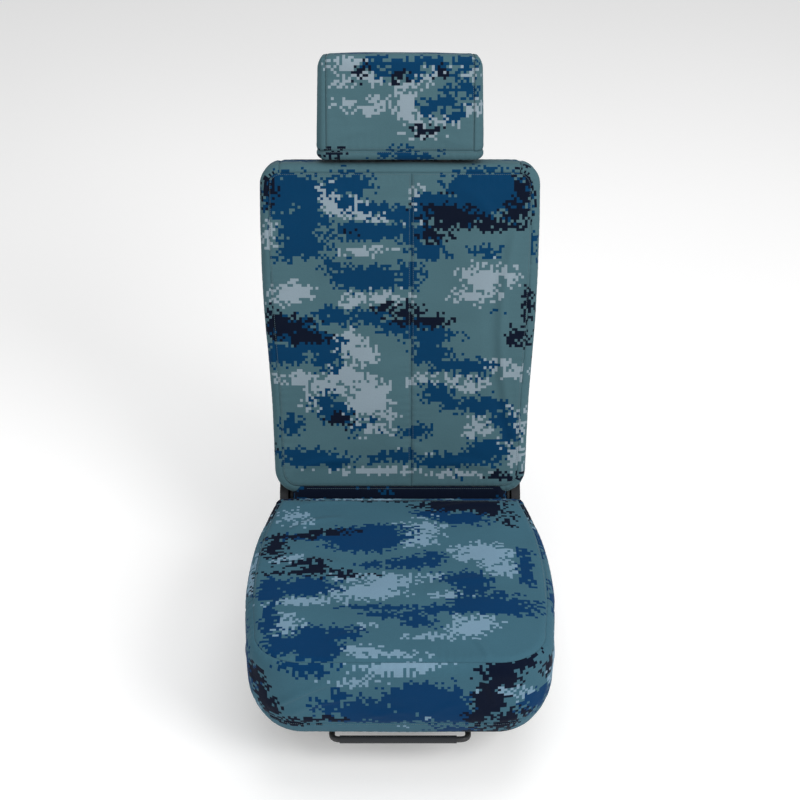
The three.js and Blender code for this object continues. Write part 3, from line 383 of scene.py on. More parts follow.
def on_outline(path, s):
    """Point and inward normal of a closed outline at a length s from its first point, forwards or
    backwards."""
    along, whole = closed(path)
    normals = inward_of(path)
    table = np.c_[path, normals]
    wrapped = np.mod(s, whole)
    found = [np.interp(wrapped, np.r_[along, whole], np.r_[table[:, k], table[0, k]]) for k in range(4)]
    point, normal = np.stack(found[:2], axis=-1), np.stack(found[2:], axis=-1)
    return point, normal / np.linalg.norm(normal, axis=-1, keepdims=True)


def moved_in(path, distance):
    """Closed outline with each point moved inwards along its normal."""
    return path + inward_of(path) * distance


def clipped(path, value, keep):
    """Part of a closed outline with x above value (keep 1) or below it (keep -1), closed by a
    straight cut."""
    side = (path[:, 0] - value) * keep
    after = np.roll(path, -1, axis=0)
    after_side = np.roll(side, -1)
    crosses = side * after_side < 0
    t = np.where(crosses, side / np.where(side == after_side, 1.0, side - after_side), 0.0)
    cut = path + (after - path) * t[:, None]
    rows = np.stack([path, cut], axis=1).reshape(-1, 2)
    return rows[np.stack([side >= 0, crosses], axis=1).reshape(-1)]


def cushion_plan():
    """Plan outline of the cushion from the front centre to the right and round: barrel sides,
    round corners."""
    side = CUSHION_WALL - CUSHION_REAR_CORNER - CUSHION_FRONT - CUSHION_FRONT_CORNER
    swell = CUSHION_HALF_MIDDLE - CUSHION_HALF_REAR
    places = [
        (CUSHION_FRONT + CUSHION_FRONT_CORNER, CUSHION_HALF_FRONT),
        (CUSHION_WALL - 0.8 * side, CUSHION_HALF_MIDDLE - 1.0),
        (CUSHION_WALL - 0.55 * side, CUSHION_HALF_MIDDLE),
        (CUSHION_WALL - 0.24 * side, CUSHION_HALF_REAR + 0.62 * swell),
        (CUSHION_WALL - CUSHION_REAR_CORNER, CUSHION_HALF_REAR),
    ]
    y = np.linspace(places[0][0], places[-1][0], 60)
    front = arc(CUSHION_HALF_FRONT - CUSHION_FRONT_CORNER, CUSHION_FRONT + CUSHION_FRONT_CORNER,
                CUSHION_FRONT_CORNER, -90.0, 0.0, 24)
    rear = arc(CUSHION_HALF_REAR - CUSHION_REAR_CORNER, CUSHION_WALL - CUSHION_REAR_CORNER,
               CUSHION_REAR_CORNER, 0.0, 90.0, 8)
    right = np.vstack([front, np.stack([smooth_table(y, places), y], axis=1)[1:-1], rear])
    left = right[::-1] * [-1.0, 1.0]
    return evened(np.vstack([[[0.0, CUSHION_FRONT]], right, left]), OUTLINE_PITCH)


def back_outline(rise):
    """Outline (x, height) of the backrest face from its bottom centre to the right and round."""
    low = BACK_LOWER_SEAM - BACK_SEAM_INSET + rise
    top = BACK_LENGTH - BACK_SHOULDER
    places = [(low + BACK_LOWER_CORNER, BACK_HALF_HIGH - 18.5), (205.0, BACK_HALF_HIGH - 14.0),
              (336.0, BACK_HALF_HIGH - 5.0), (485.0, BACK_HALF_HIGH), (top, BACK_HALF_HIGH)]
    z = np.linspace(places[0][0], top, 70)
    corner = arc(places[0][1] - BACK_LOWER_CORNER, low + BACK_LOWER_CORNER, BACK_LOWER_CORNER, -90.0, 0.0, 12)
    shoulder = arc(BACK_HALF_HIGH - BACK_SHOULDER, top, BACK_SHOULDER, 0.0, 90.0, 12)
    right = np.vstack([corner, np.stack([smooth_table(z, places), z], axis=1)[1:-1], shoulder])
    return evened(np.vstack([[[0.0, low]], right, right[::-1] * [-1.0, 1.0]]), OUTLINE_PITCH)


def rounded_box(half, front, rear, radius, pitch=4.0):
    """Rounded rectangle from its front centre to the right and round."""
    right = np.vstack([arc(half - radius, front + radius, radius, -90.0, 0.0, 10),
                       arc(half - radius, rear - radius, radius, 0.0, 90.0, 10)])
    return evened(np.vstack([[[0.0, front]], right, right[::-1] * [-1.0, 1.0]]), pitch)


PLAN = cushion_plan()
BACK = back_outline(0.0)
BACK_BEHIND = back_outline(BACK_REAR_RISE)


# ---------------------------------------------------------------- cutting cloth


def nearest_on(loops, points):
    """Inside or not, distance to the loops, nearest point, length along the loop there, and its
    inward normal."""
    starts = np.concatenate(loops)
    runs = np.concatenate([np.roll(loop, -1, axis=0) - loop for loop in loops])
    along = np.concatenate([closed(loop)[0] for loop in loops])
    length = np.maximum(np.linalg.norm(runs, axis=1), 1e-9)
    inward = np.stack([-runs[:, 1], runs[:, 0]], axis=1) / length[:, None]
    found = []
    for part in np.array_split(points, len(points) * len(starts) // 4_000_000 + 1):
        rel = part[:, None, :] - starts
        t = np.clip((rel * runs).sum(axis=2) / length**2, 0.0, 1.0)
        near = starts + runs * t[..., None]
        gap = ((part[:, None, :] - near) ** 2).sum(axis=2)
        k = gap.argmin(axis=1)
        row = np.arange(len(part))
        y = part[:, 1:2]
        ends = starts + runs
        crossed = (starts[:, 1] > y) != (ends[:, 1] > y)
        level = np.where(runs[:, 1] == 0.0, 1.0, runs[:, 1])
        crossed &= part[:, 0:1] < starts[:, 0] + runs[:, 0] * (y - starts[:, 1]) / level
        found.append((crossed.sum(axis=1) % 2 == 1, np.sqrt(gap[row, k]), near[row, k],
                      along[k] + t[row, k] * length[k], inward[k]))
    return [np.concatenate(parts) for parts in zip(*found)]


def grid_faces(index):
    """Square faces of a grid of point numbers."""
    corners = [index[:-1, :-1], index[1:, :-1], index[1:, 1:], index[:-1, 1:]]
    return np.stack(corners, axis=-1).reshape(-1, 4)


def cut_cloth(loops, pitch):
    """Grid of squares inside the loops, whose outer points are drawn on to the loops and to their
    corners."""
    low = np.floor(np.min(np.vstack(loops), axis=0) / CELL) * CELL - CELL
    high = np.ceil(np.max(np.vstack(loops), axis=0) / CELL) * CELL + CELL
    across, up = (np.arange(low[k], high[k] + pitch / 2, pitch) for k in (0, 1))
    flat = np.stack(np.meshgrid(across, up, indexing="ij"), axis=-1).reshape(-1, 2)
    inside, gap, near, along, _ = nearest_on(loops, flat)
    inner = inside & (gap > 0.35 * pitch)
    faces = grid_faces(np.arange(len(flat)).reshape(len(across), len(up)))
    faces = faces[inner[faces].any(axis=1)]
    centres = flat[faces].mean(axis=1)
    flat[~inner], gap[~inner] = near[~inner], 0.0
    used, faces = np.unique(faces, return_inverse=True)
    flat, gap, along, rim = flat[used], gap[used], along[used], np.flatnonzero(~inner[used])
    for loop in loops:
        before, after = loop - np.roll(loop, 1, axis=0), np.roll(loop, -1, axis=0) - loop
        turn = np.abs(np.angle((after @ [1, 1j]) / (before @ [1, 1j])))
        for corner in loop[turn > math.radians(35)]:
            flat[rim[np.linalg.norm(flat[rim] - corner, axis=1).argmin()]] = corner
    return {"flat": flat, "faces": faces.reshape(-1, 4), "centres": centres, "edge": gap, "along": along}


GROOVE_WIDTH = 3.2               # half width of the groove at a seam
ROLL_HEIGHT, ROLL_INSET, ROLL_WIDTH = 0.3, 8.0, 4.0        # raised roll beside it
WAVES = ((1.3, 150.0, 95.0), (0.6, 60.0, 38.0), (0.22, 24.0, 18.0))        # height, width and length of a wave


def fold_height(flat, folds):
    """Ridges along straight lines (x0, y0, x1, y1, half width, height), bell-shaped across and
    fading at the ends."""
    height = np.zeros(len(flat))
    for x0, y0, x1, y1, wide, high in folds:
        start, run = np.array([x0, y0]), np.array([x1 - x0, y1 - y0])
        t = ((flat - start) @ run) / (run @ run)
        bow = 0.08 * np.sin(np.clip(t, 0, 1) * math.pi) * np.linalg.norm(run)
        off = ((flat - start) @ [-run[1], run[0]]) / np.linalg.norm(run) - bow
        fade = np.sin(np.clip(t, 0.0, 1.0) * math.pi) ** 0.7
        height += high * np.exp(-((off / wide) ** 2)) * fade
    return height


def relief_of(flat, edge, along, seed, folds=(), crown=0.0, crown_reach=60.0, slack=1.0, seam=1.0):
    """Height of the cloth off its smooth form: crown, seam groove and roll, puckers at the seam,
    soft waves, folds."""
    sizes = bpy.context.scene.seat_cover_sizes
    x, y = flat.T
    drift = lattice_noise(along, np.zeros(len(along)), 46.0, 10.0, seed + 1)
    pucker = np.sin(2.0 * math.pi * along / sizes.pucker_spacing + 4.0 * drift)
    strength = 0.55 + 0.45 * lattice_noise(along, np.ones(len(along)), 70.0, 10.0, seed + 2)
    height = crown * (1.0 - np.exp(-edge / crown_reach))
    height -= seam * sizes.seam_depth * np.exp(-((edge / GROOVE_WIDTH) ** 2))
    height += ROLL_HEIGHT * np.exp(-(((edge - ROLL_INSET) / ROLL_WIDTH) ** 2))
    height += sizes.pucker_height * strength * pucker * np.exp(-edge / 15.0) * (1.0 - np.exp(-edge / 2.0))
    soft = sum(high * lattice_noise(x, y, wide, tall, seed + 3 + k)
               for k, (high, wide, tall) in enumerate(WAVES))
    height += sizes.wave_height * slack * soft * (1.0 - np.exp(-edge / 25.0))
    height += fold_height(flat, folds) * (1.0 - np.exp(-edge / 6.0))
    return height


def formed(shape, flat, height):
    """Points of a flat cloth on its form, moved out along the form's normal by the height."""
    step = 0.6
    here = shape(flat)
    across = shape(flat + [step, 0.0]) - shape(flat - [step, 0.0])
    up = shape(flat + [0.0, step]) - shape(flat - [0.0, step])
    normal = np.cross(across, up)
    normal /= np.maximum(np.linalg.norm(normal, axis=1, keepdims=True), 1e-9)
    return here + normal * height[:, None], normal


# ---------------------------------------------------------------- forms, millimetres in the row frame


def leaned(x, rear, up):
    """Place in the row frame of a point given along the backrest's own axes."""
    return PIVOT + x[:, None] * RIGHT + rear[:, None] * REARWARD + up[:, None] * UP


def cushion_top_z(y):
    """Height of the cushion's top plane, which falls to the rear."""
    return CUSHION_TOP_FRONT - (y - CUSHION_FRONT) * math.tan(CUSHION_TILT)


def cushion_edge(y):
    """Rounding of the cushion's top edge: tight at the rear, full from 70 mm on."""
    ahead = np.clip((CUSHION_WALL - y) / 70.0, 0.0, 1.0)
    return CUSHION_REAR_EDGE + (CUSHION_EDGE - CUSHION_REAR_EDGE) * ahead


def edge_drop(depth, radius):
    """Fall of a quarter-round edge at a depth in from the outline."""
    short = np.clip(radius - depth, 0.0, radius)
    return radius - np.sqrt(np.maximum(radius**2 - short**2, 0.0))


def cushion_top_form(flat):
    """Plan point lifted to the top plane, less the fall of the quarter-round edge."""
    _, depth, near, _, _ = nearest_on([PLAN], flat)
    z = cushion_top_z(flat[:, 1]) - edge_drop(depth, cushion_edge(near[:, 1]))
    return np.c_[flat, z]


def cushion_wall_height(y):
    """Length up the cushion's side from the hem edge to where the top edge starts to round."""
    shift = CUSHION_HEM_ROUND * (math.pi / 2 - 1.0)
    return cushion_top_z(y) - cushion_edge(y) - CUSHION_HEM + shift


def skirt_form(flat):
    """Side of the cushion at a length round the plan and up from the hem: turned in, pulled in,
    upright, rounded."""
    s, h = flat.T
    point, inward = on_outline(PLAN, s)
    y = point[:, 1]
    r, wall, low = cushion_edge(y), cushion_wall_height(y), CUSHION_HEM_ROUND
    quarter = low * math.pi / 2
    z = CUSHION_HEM + low + (h - quarter)
    under = np.clip((quarter - h) / low, 0.0, math.pi / 2)
    z = np.where(h < quarter, CUSHION_HEM + low * (1.0 - np.sin(under)), z)
    depth = np.where(h < quarter, low * (1.0 - np.cos(under)) + np.maximum(-h, 0.0), 0.0)
    tight = np.clip((CUSHION_HEM + CUSHION_PULL_HEIGHT - z) / CUSHION_PULL_HEIGHT, 0.0, 1.0) ** 2
    forward = smoothstep(0.0, 160.0, CUSHION_FRONT + CUSHION_PULL_END - y)
    depth = depth + tight * (CUSHION_ELASTIC + CUSHION_PULL * forward)
    turn = np.clip((h - wall) / r, 0.0, math.pi / 2)
    depth = depth + r * (1.0 - np.cos(turn))
    plan = point + inward * depth[:, None]
    rounded = cushion_top_z(plan[:, 1]) - r + r * np.sin(turn)
    return np.c_[plan, np.where(h > wall, rounded, z)]


def back_rear(z):
    """Rear face of the backrest at a height, tapering to the top."""
    return BACK_REAR_LOW + (BACK_REAR_TOP - BACK_REAR_LOW) * np.clip(z / BACK_LENGTH, 0.0, 1.0)


def back_front_form(flat):
    """Front face of the backrest with its quarter-round edge."""
    depth = nearest_on([BACK], flat)[1]
    return leaned(flat[:, 0], BACK_FRONT + edge_drop(depth, BACK_EDGE), flat[:, 1])


def back_rear_form(flat):
    """Rear face of the backrest, seen from behind, with its quarter-round edge."""
    depth = nearest_on([BACK_BEHIND], flat)[1]
    return leaned(-flat[:, 0], back_rear(flat[:, 1]) - edge_drop(depth, BACK_EDGE), flat[:, 1])


SEAM_TURN = math.acos(1.0 - BACK_SEAM_INSET / BACK_EDGE)


def gusset_width(s):
    """Width of the backrest gusset at a length round the outline: two part-rounded edges and the
    straight."""
    z = on_outline(BACK, s)[0][..., 1]
    return 2.0 * BACK_EDGE * SEAM_TURN + back_rear(z) - BACK_FRONT - 2.0 * BACK_EDGE


def gusset_form(flat):
    """Backrest edge at a length round the outline and forwards from the rear seam; its low end
    rises to the rear."""
    s, t = flat.T
    point, inward = on_outline(BACK, s)
    z = point[:, 1]
    bend = BACK_EDGE * SEAM_TURN
    straight = back_rear(z) - BACK_FRONT - 2.0 * BACK_EDGE
    behind = np.clip((bend - t) / BACK_EDGE, 0.0, math.pi / 2)
    ahead = np.clip((t - bend - straight) / BACK_EDGE, 0.0, math.pi / 2)
    depth = BACK_EDGE * (2.0 - np.cos(behind) - np.cos(ahead))
    rear = back_rear(z) - BACK_EDGE - np.clip(t - bend, 0.0, straight)
    rear = rear + BACK_EDGE * np.sin(behind) - BACK_EDGE * np.sin(ahead)
    place = point + inward * depth[:, None]
    rise = BACK_REAR_RISE * smoothstep(-50.0, -20.0, rear) * (1.0 - smoothstep(34.0, 78.0, place[:, 1]))
    return leaned(place[:, 0], rear, place[:, 1] + rise)


FLAP_END = 18.0
FLAP_QUARTER = FLAP_END * math.pi / 2
FLAP_CAP = 24.0
FLAP_ARC = BACK_REAR_LOW * math.pi
FLAP_FRONT = BACK_LOWER_SEAM
FLAP_REAR = BACK_LOWER_SEAM + BACK_REAR_RISE


def flap_form(flat):
    """Tuck flap: down the rear, round the recliner axis and up the front, with its ends rounded in
    to the axis."""
    w, t = flat.T
    side = np.abs(w)
    level = BACK_TONGUE - FLAP_END
    turn = np.clip((side - level) / FLAP_END, 0.0, math.pi / 2)
    x = np.minimum(side, level) + FLAP_END * np.sin(turn)
    sunk = FLAP_END * (1.0 - np.cos(turn)) + np.maximum(side - level - FLAP_QUARTER, 0.0)
    reach = BACK_REAR_LOW - sunk
    angle = np.clip((t - FLAP_REAR) / FLAP_ARC, 0.0, 1.0) * math.pi
    above = np.maximum(FLAP_REAR - t, 0.0) + np.maximum(t - FLAP_REAR - FLAP_ARC, 0.0)
    taper = 1.0 - (BACK_REAR_LOW - back_rear(above)) / BACK_REAR_LOW * (t < FLAP_REAR)
    return leaned(np.sign(w) * x, reach * np.cos(angle) * taper, above - reach * np.sin(angle))


def head_profile():
    """Side profile (rear, height) of the headrest from its front hem seam over the top to the rear
    hem seam."""
    return np.vstack([
        [[HEAD_FRONT, HEAD_HEM]],
        arc(HEAD_FRONT + HEAD_EDGE, HEAD_HEIGHT - HEAD_EDGE, HEAD_EDGE, 180.0, 90.0, 12),
        arc(HEAD_REAR - HEAD_EDGE, HEAD_HEIGHT - HEAD_EDGE, HEAD_EDGE, 90.0, 0.0, 12),
        [[HEAD_REAR, HEAD_HEM]],
    ])


HEAD_PROFILE = head_profile()
HEAD_RUN = np.r_[0.0, np.cumsum(np.linalg.norm(np.diff(HEAD_PROFILE, axis=0), axis=1))]


def head_main_form(flat):
    """Headrest strip: along the side profile, falling a little towards the rounded ends."""
    x, b = flat.T
    at = np.clip(b - HEAD_HEM, 0.0, HEAD_RUN[-1])
    rear, up = (np.interp(at, HEAD_RUN, HEAD_PROFILE[:, k]) for k in (0, 1))
    ahead = [np.interp(at + 0.7, HEAD_RUN, values) - np.interp(at - 0.7, HEAD_RUN, values)
             for values in HEAD_PROFILE.T]
    size = np.maximum(np.hypot(*ahead), 1e-6)
    drop = edge_drop(HEAD_HALF_LOW - np.abs(x), HEAD_CORNER)
    return leaned(x, rear + ahead[1] / size * drop, HEAD_BASE + up - ahead[0] / size * drop)


HEAD_SIDE_ARC = 30.2
HEAD_SIDE_EASE = HEAD_SIDE_ARC - HEAD_CORNER


def head_side_outline(low):
    """Flat cut of the headrest's side panel (rear, height): the profile let out by the length its
    rounding needs."""
    e = HEAD_SIDE_EASE
    radius = HEAD_EDGE + e
    return np.vstack([
        [[HEAD_FRONT - e, low], [HEAD_REAR + e, low]],
        arc(HEAD_REAR + e - radius, HEAD_HEIGHT + e - radius, radius, 0.0, 90.0, 10),
        arc(HEAD_FRONT - e + radius, HEAD_HEIGHT + e - radius, radius, 90.0, 180.0, 10),
    ])


def head_side_form(sign):
    """Form of a headrest side: the flat cut drawn in at its rim while it swells out from the seam
    to the side."""
    def form(flat):
        plane = flat * [sign, 1.0]
        _, depth, _, _, inward = nearest_on([evened(head_side_outline(-150.0), OUTLINE_PITCH)], plane)
        turn = np.clip(depth / HEAD_SIDE_ARC, 0.0, 1.0) * math.pi / 2
        shift = np.maximum(HEAD_CORNER * (1.0 - np.cos(turn)) + HEAD_SIDE_EASE - depth, 0.0)
        shift = np.where(depth < HEAD_SIDE_ARC, shift, 0.0)
        place = plane + inward * shift[:, None]
        half = HEAD_HALF_LOW + (HEAD_HALF_HIGH - HEAD_HALF_LOW) * place[:, 1] / HEAD_HEIGHT
        x = HEAD_SEAM + (half - HEAD_SEAM) * np.sin(turn)
        return leaned(sign * x, place[:, 0], HEAD_BASE + place[:, 1])
    return form


HEAD_PLAN = rounded_box(HEAD_HALF_LOW, HEAD_FRONT, HEAD_REAR, HEAD_CORNER)


def head_hem_form(flat):
    """Headrest hem band: round the plan, down, and turned in under the pad."""
    s, h = flat.T
    point, inward = on_outline(HEAD_PLAN, s)
    turn = np.clip((HEAD_EDGE - h) / HEAD_EDGE, 0.0, math.pi / 2)
    quarter = HEAD_EDGE * (1.0 - math.pi / 2)
    depth = HEAD_EDGE * (1.0 - np.cos(turn)) + np.maximum(quarter - h, 0.0)
    up = np.where(h > HEAD_EDGE, h, HEAD_EDGE * (1.0 - np.sin(turn)))
    place = point + inward * depth[:, None]
    return leaned(place[:, 0], place[:, 1], HEAD_BASE + up)


def head_under_form(flat):
    """Underside panel of the headrest, flat, seen from below."""
    return leaned(flat[:, 0], -flat[:, 1], np.full(len(flat), HEAD_BASE + 0.3))


# ---------------------------------------------------------------- materials


class Finish:
    """A node material under construction: places nodes and links them."""

    def __init__(self, name):
        self.material = bpy.data.materials.new(name)
        self.material.use_nodes = True
        self.tree = self.material.node_tree
        self.tree.nodes.clear()
        self.shader = self.add("ShaderNodeBsdfPrincipled")
        output = self.add("ShaderNodeOutputMaterial")
        self.link(self.shader.outputs[0], output.inputs["Surface"])

    def add(self, kind, **values):
        """A node of a kind; values set its properties, or its input sockets by name."""
        node = self.tree.nodes.new(kind)
        for name, value in values.items():
            if hasattr(node, name):
                setattr(node, name, value)
            else:
                node.inputs[name.replace("_", " ")].default_value = value
        return node

    def link(self, source, target):
        """Joins an output socket to an input socket."""
        self.tree.links.new(source, target)

    def set(self, **values):
        """Shader sockets that hold one value all over."""
        for name, value in values.items():
            self.shader.inputs[name.replace("_", " ")].default_value = value

    def place(self, uv=None):
        """Texture place: a UV map in metres, or the object's own coordinates in metres."""
        if uv:
            return self.add("ShaderNodeUVMap", uv_map=uv).outputs["UV"]
        return self.add("ShaderNodeTexCoord").outputs["Object"]

    def plain(self, colour):
        """A colour socket that holds one colour."""
        node = self.add("ShaderNodeRGB")
        node.outputs[0].default_value = (*colour, 1.0)
        return node.outputs[0]

    def noise(self, place, scale, detail=2.0, roughness=0.5):
        """Noise from 0 to 1 at a scale per metre."""
        node = self.add("ShaderNodeTexNoise", Scale=scale, Detail=detail, Roughness=roughness)
        self.link(place, node.inputs["Vector"])
        return node.outputs[0]

    def maths(self, operation, *values):
        """One arithmetic step on sockets or numbers."""
        node = self.add("ShaderNodeMath", operation=operation)
        for socket, value in zip(node.inputs, values):
            if isinstance(value, (int, float)):
                socket.default_value = value
            else:
                self.link(value, socket)
        return node.outputs[0]

    def between(self, source, low, high):
        """A 0 to 1 socket mapped to the range low to high."""
        node = self.add("ShaderNodeMapRange", To_Min=low, To_Max=high)
        self.link(source, node.inputs["Value"])
        return node.outputs[0]

    def tint(self, colour, amount, low, high):
        """A colour socket multiplied by a grey that runs from low to high with amount."""
        grey = self.between(amount, low, high)
        node = self.add("ShaderNodeVectorMath", operation="SCALE")
        self.link(colour, node.inputs[0])
        self.link(grey, node.inputs["Scale"])
        return node.outputs[0]

    def bump(self, height, strength, distance, after=None):
        """Bump from a height socket, on top of an earlier bump if there is one."""
        node = self.add("ShaderNodeBump", Strength=strength, Distance=distance)
        self.link(height, node.inputs["Height"])
        if after:
            self.link(after, node.inputs["Normal"])
        return node.outputs[0]


CANVAS_PITCH = 0.0011            # threads of the cover cloth, metres
WEBBING_PITCH = 0.0016           # threads of the straps, metres


def plain_weave(finish, place, pitch):
    """Height of a plain weave: the higher of two crossed rows of thread humps, each over and under
    in turn."""
    split = finish.add("ShaderNodeSeparateXYZ")
    finish.link(place, split.inputs[0])
    rows = [finish.maths("SINE", finish.maths("MULTIPLY", split.outputs[k], math.pi / pitch)) for k in (0, 1)]
    over = finish.maths("MULTIPLY", rows[0], rows[1])
    humps = [finish.maths("ABSOLUTE", row) for row in rows]
    raised = [finish.maths("ADD", humps[0], over), finish.maths("SUBTRACT", humps[1], over)]
    return finish.maths("MAXIMUM", *raised)


def camouflage_cloth(name, cast):
    """Printed polyester canvas: four inks by face attribute with a colour cast, uneven dye, plain
    weave with painted shade in its hollows, faint fuzz."""
    colours = bpy.context.scene.seat_cover_colours
    finish = Finish(name)
    ink = finish.add("ShaderNodeAttribute", attribute_name="ink")
    ramp = finish.add("ShaderNodeValToRGB")
    ramp.color_ramp.interpolation = "CONSTANT"
    stops = [colours.ground, colours.light, colours.navy, colours.black]
    while len(ramp.color_ramp.elements) < len(stops):
        ramp.color_ramp.elements.new(0.5)
    for element, at, colour in zip(ramp.color_ramp.elements, (0.0, 0.25, 0.5, 0.75), stops):
        element.position = at
        element.color = (*(value * share for value, share in zip(colour, cast)), 1.0)
    finish.link(finish.maths("MULTIPLY_ADD", ink.outputs["Fac"], 0.25, 0.1), ramp.inputs["Fac"])
    place = finish.place("Cloth")
    colour = finish.tint(ramp.outputs["Color"], finish.noise(place, 7.0, 3.0), 0.86, 1.14)
    colour = finish.tint(colour, finish.noise(place, 420.0, 2.0), 0.90, 1.10)
    weave = plain_weave(finish, place, CANVAS_PITCH)
    # Darker in the weave's hollows and slightly lighter on the thread tops, from the weave's height: painted
    # shade and painted highlight.
    colour = finish.tint(colour, weave, 0.90, 1.05)
    finish.link(colour, finish.shader.inputs["Base Color"])
    finish.link(finish.between(finish.noise(place, 60.0), 0.74, 0.92), finish.shader.inputs["Roughness"])
    finish.set(Sheen_Weight=0.03, Sheen_Roughness=0.4, Specular_IOR_Level=0.08)
    normal = finish.bump(weave, 0.35, 0.00012)
    normal = finish.bump(finish.noise(place, 160.0, 2.0), 0.25, 0.0004, normal)
    finish.link(normal, finish.shader.inputs["Normal"])
    return finish.material


def sewing_thread():
    """Twisted polyester thread: dark slate with a fine slanting twist, and painted shade in the twist's low
    parts.
    """
    finish = Finish("sewing thread")
    colour = finish.plain(bpy.context.scene.seat_cover_colours.thread)
    twist = finish.noise(finish.place(), 2600.0, 1.0)
    # The colour follows the twist's bump: darker where it is low and lighter where it is high, as painted
    # shade and painted highlight.
    finish.link(finish.tint(colour, twist, 0.7, 1.25), finish.shader.inputs["Base Color"])
    finish.link(finish.bump(twist, 0.4, 0.0001), finish.shader.inputs["Normal"])
    finish.set(Roughness=0.55, Sheen_Weight=0.2)
    return finish.material


def webbing_cloth():
    """Woven polypropylene webbing: near-black ribs with painted shade between them, and a soft gloss."""
    finish = Finish("strap webbing")
    place = finish.place("Cloth")
    weave = plain_weave(finish, place, WEBBING_PITCH)
    # Much darker between the ribs and lighter on their tops, from the weave's height: painted shade and
    # painted highlight.
    shade = finish.tint(finish.plain(bpy.context.scene.seat_cover_colours.webbing), weave, 0.55, 1.3)
    finish.link(finish.tint(shade, finish.noise(place, 90.0), 0.8, 1.2), finish.shader.inputs["Base Color"])
    finish.link(finish.bump(weave, 0.7, 0.0003), finish.shader.inputs["Normal"])
    finish.link(finish.between(weave, 0.62, 0.45), finish.shader.inputs["Roughness"])
    finish.set(Sheen_Weight=0.15)
    return finish.material


def foam_block():
    """Moulded polyurethane foam: pale cream, open cells with painted shade in their pits, slight yellowing."""
    finish = Finish("moulded foam")
    place = finish.place()
    colour = finish.plain(bpy.context.scene.seat_cover_colours.foam)
    cells = finish.add("ShaderNodeTexVoronoi", Scale=620.0)
    finish.link(place, cells.inputs["Vector"])
    shade = finish.tint(colour, finish.noise(place, 9.0, 3.0), 0.86, 1.08)
    # Darker in the pits of the cells, from the same cell distance as the bump: painted shade in the open
    # cells.
    shade = finish.tint(shade, finish.maths("MULTIPLY", cells.outputs["Distance"], 1.6), 0.78, 1.05)
    finish.link(shade, finish.shader.inputs["Base Color"])
    finish.link(finish.bump(cells.outputs["Distance"], 0.6, 0.0008), finish.shader.inputs["Normal"])
    finish.set(Roughness=0.95, Subsurface_Weight=0.05, Subsurface_Radius=(0.004, 0.003, 0.002))
    return finish.material


def hard_finish(name, colour, metallic, rough, grain, depth, brushed=0.0, coat=0.0):
    """Paint, plated metal or plastic: colour with slow mottling, uneven gloss, grain bump, and
    stretched scratches."""
    finish = Finish(name)
    place = finish.place()
    mottled = finish.noise(place, 22.0, 4.0, 0.6)
    finish.link(finish.tint(finish.plain(colour), mottled, 0.82, 1.18), finish.shader.inputs["Base Color"])
    fine = finish.noise(place, grain, 3.0, 0.6)
    if brushed:
        stretch = finish.add("ShaderNodeMapping", Scale=(1.0, brushed, 1.0))
        finish.link(place, stretch.inputs["Vector"])
        fine = finish.noise(stretch.outputs[0], grain, 3.0, 0.7)
    finish.link(finish.between(finish.maths("ADD", mottled, fine), rough * 0.55, rough * 1.15),
                finish.shader.inputs["Roughness"])
    finish.link(finish.bump(fine, 0.5, depth), finish.shader.inputs["Normal"])
    finish.set(Metallic=metallic, Coat_Weight=coat, Coat_Roughness=0.25)
    return finish.material


CUSHION_CAST = (0.72, 0.93, 1.08)      # the cushion's cloth gets less red, a little less green and a little more blue than the backrest's
MAKERS = {
    "camouflage": lambda: camouflage_cloth("camouflage cloth", (1.0, 1.0, 1.0)),
    "camouflage_cushion": lambda: camouflage_cloth("cushion camouflage cloth", CUSHION_CAST),
    "thread": sewing_thread,
    "webbing": webbing_cloth,
    "foam": foam_block,
    "steel": lambda: hard_finish("black powder coat", (0.016, 0.017, 0.019), 0.0, 0.55, 900.0, 0.00012,
                                 coat=0.15),
    "zinc": lambda: hard_finish("zinc plate", (0.52, 0.52, 0.50), 1.0, 0.42, 700.0, 0.00005, brushed=0.08),
    "chrome": lambda: hard_finish("chrome plate", (0.74, 0.75, 0.77), 1.0, 0.12, 400.0, 0.00001,
                                  brushed=0.15),
    "trim": lambda: hard_finish("grained black plastic", (0.014, 0.016, 0.019), 0.0, 0.62, 1500.0, 0.0003),
}
MADE = {}


def material(kind):
    """The finish of a kind, made once."""
    if kind not in MADE:
        MADE[kind] = MAKERS[kind]()
    return MADE[kind]


# ---------------------------------------------------------------- making pieces


def mesh_piece(name, points, faces, kind, uv=None, inks=None):
    """A mesh object from points in millimetres, with its cloth coordinates and inks where it has them."""
    mesh = bpy.data.meshes.new(name)
    mesh.from_pydata(points * 0.001, [], faces)
    if uv is not None:
        flat = uv[faces.reshape(-1)] * 0.001
        mesh.uv_layers.new(name="Cloth").data.foreach_set("uv", flat.reshape(-1))
        spread = (flat - flat.min(axis=0)) / np.ptp(flat, axis=0).max() * 0.98 + 0.01
        mesh.uv_layers.new(name="OFBake").data.foreach_set("uv", spread.reshape(-1))
    if inks is not None:
        mesh.attributes.new("ink", "FLOAT", "FACE").data.foreach_set("value", inks)
    mesh.polygons.foreach_set("use_smooth", np.ones(len(faces), dtype=bool))
    return object_of(mesh, kind)


def object_of(mesh, kind):
    """An object of a mesh's own name in the scene, with one material."""
    mesh.materials.clear()
    mesh.materials.append(material(kind))
    piece = bpy.data.objects.new(mesh.name, mesh)
    bpy.context.scene.collection.objects.link(piece)
    return piece


def tidied(piece, gap=0.00002):
    """Merges points that were drawn on to the same place."""
    form = bmesh.new()
    form.from_mesh(piece.data)
    bmesh.ops.remove_doubles(form, verts=form.verts, dist=gap)
    form.to_mesh(piece.data)
    form.free()
    return piece


def thickened(piece, name, thickness):
    """Gives a sheet its thickness in metres, inwards from its face."""
    wall = piece.modifiers.new(name, "SOLIDIFY")
    wall.thickness = thickness
    wall.offset = -1.0
    wall.use_even_offset = False


def finished(piece, body, nodes=()):
    """Puts a piece on its body and the nodes that it stands for."""
    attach(piece, body)
    if nodes:
        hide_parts(*nodes)
    return piece


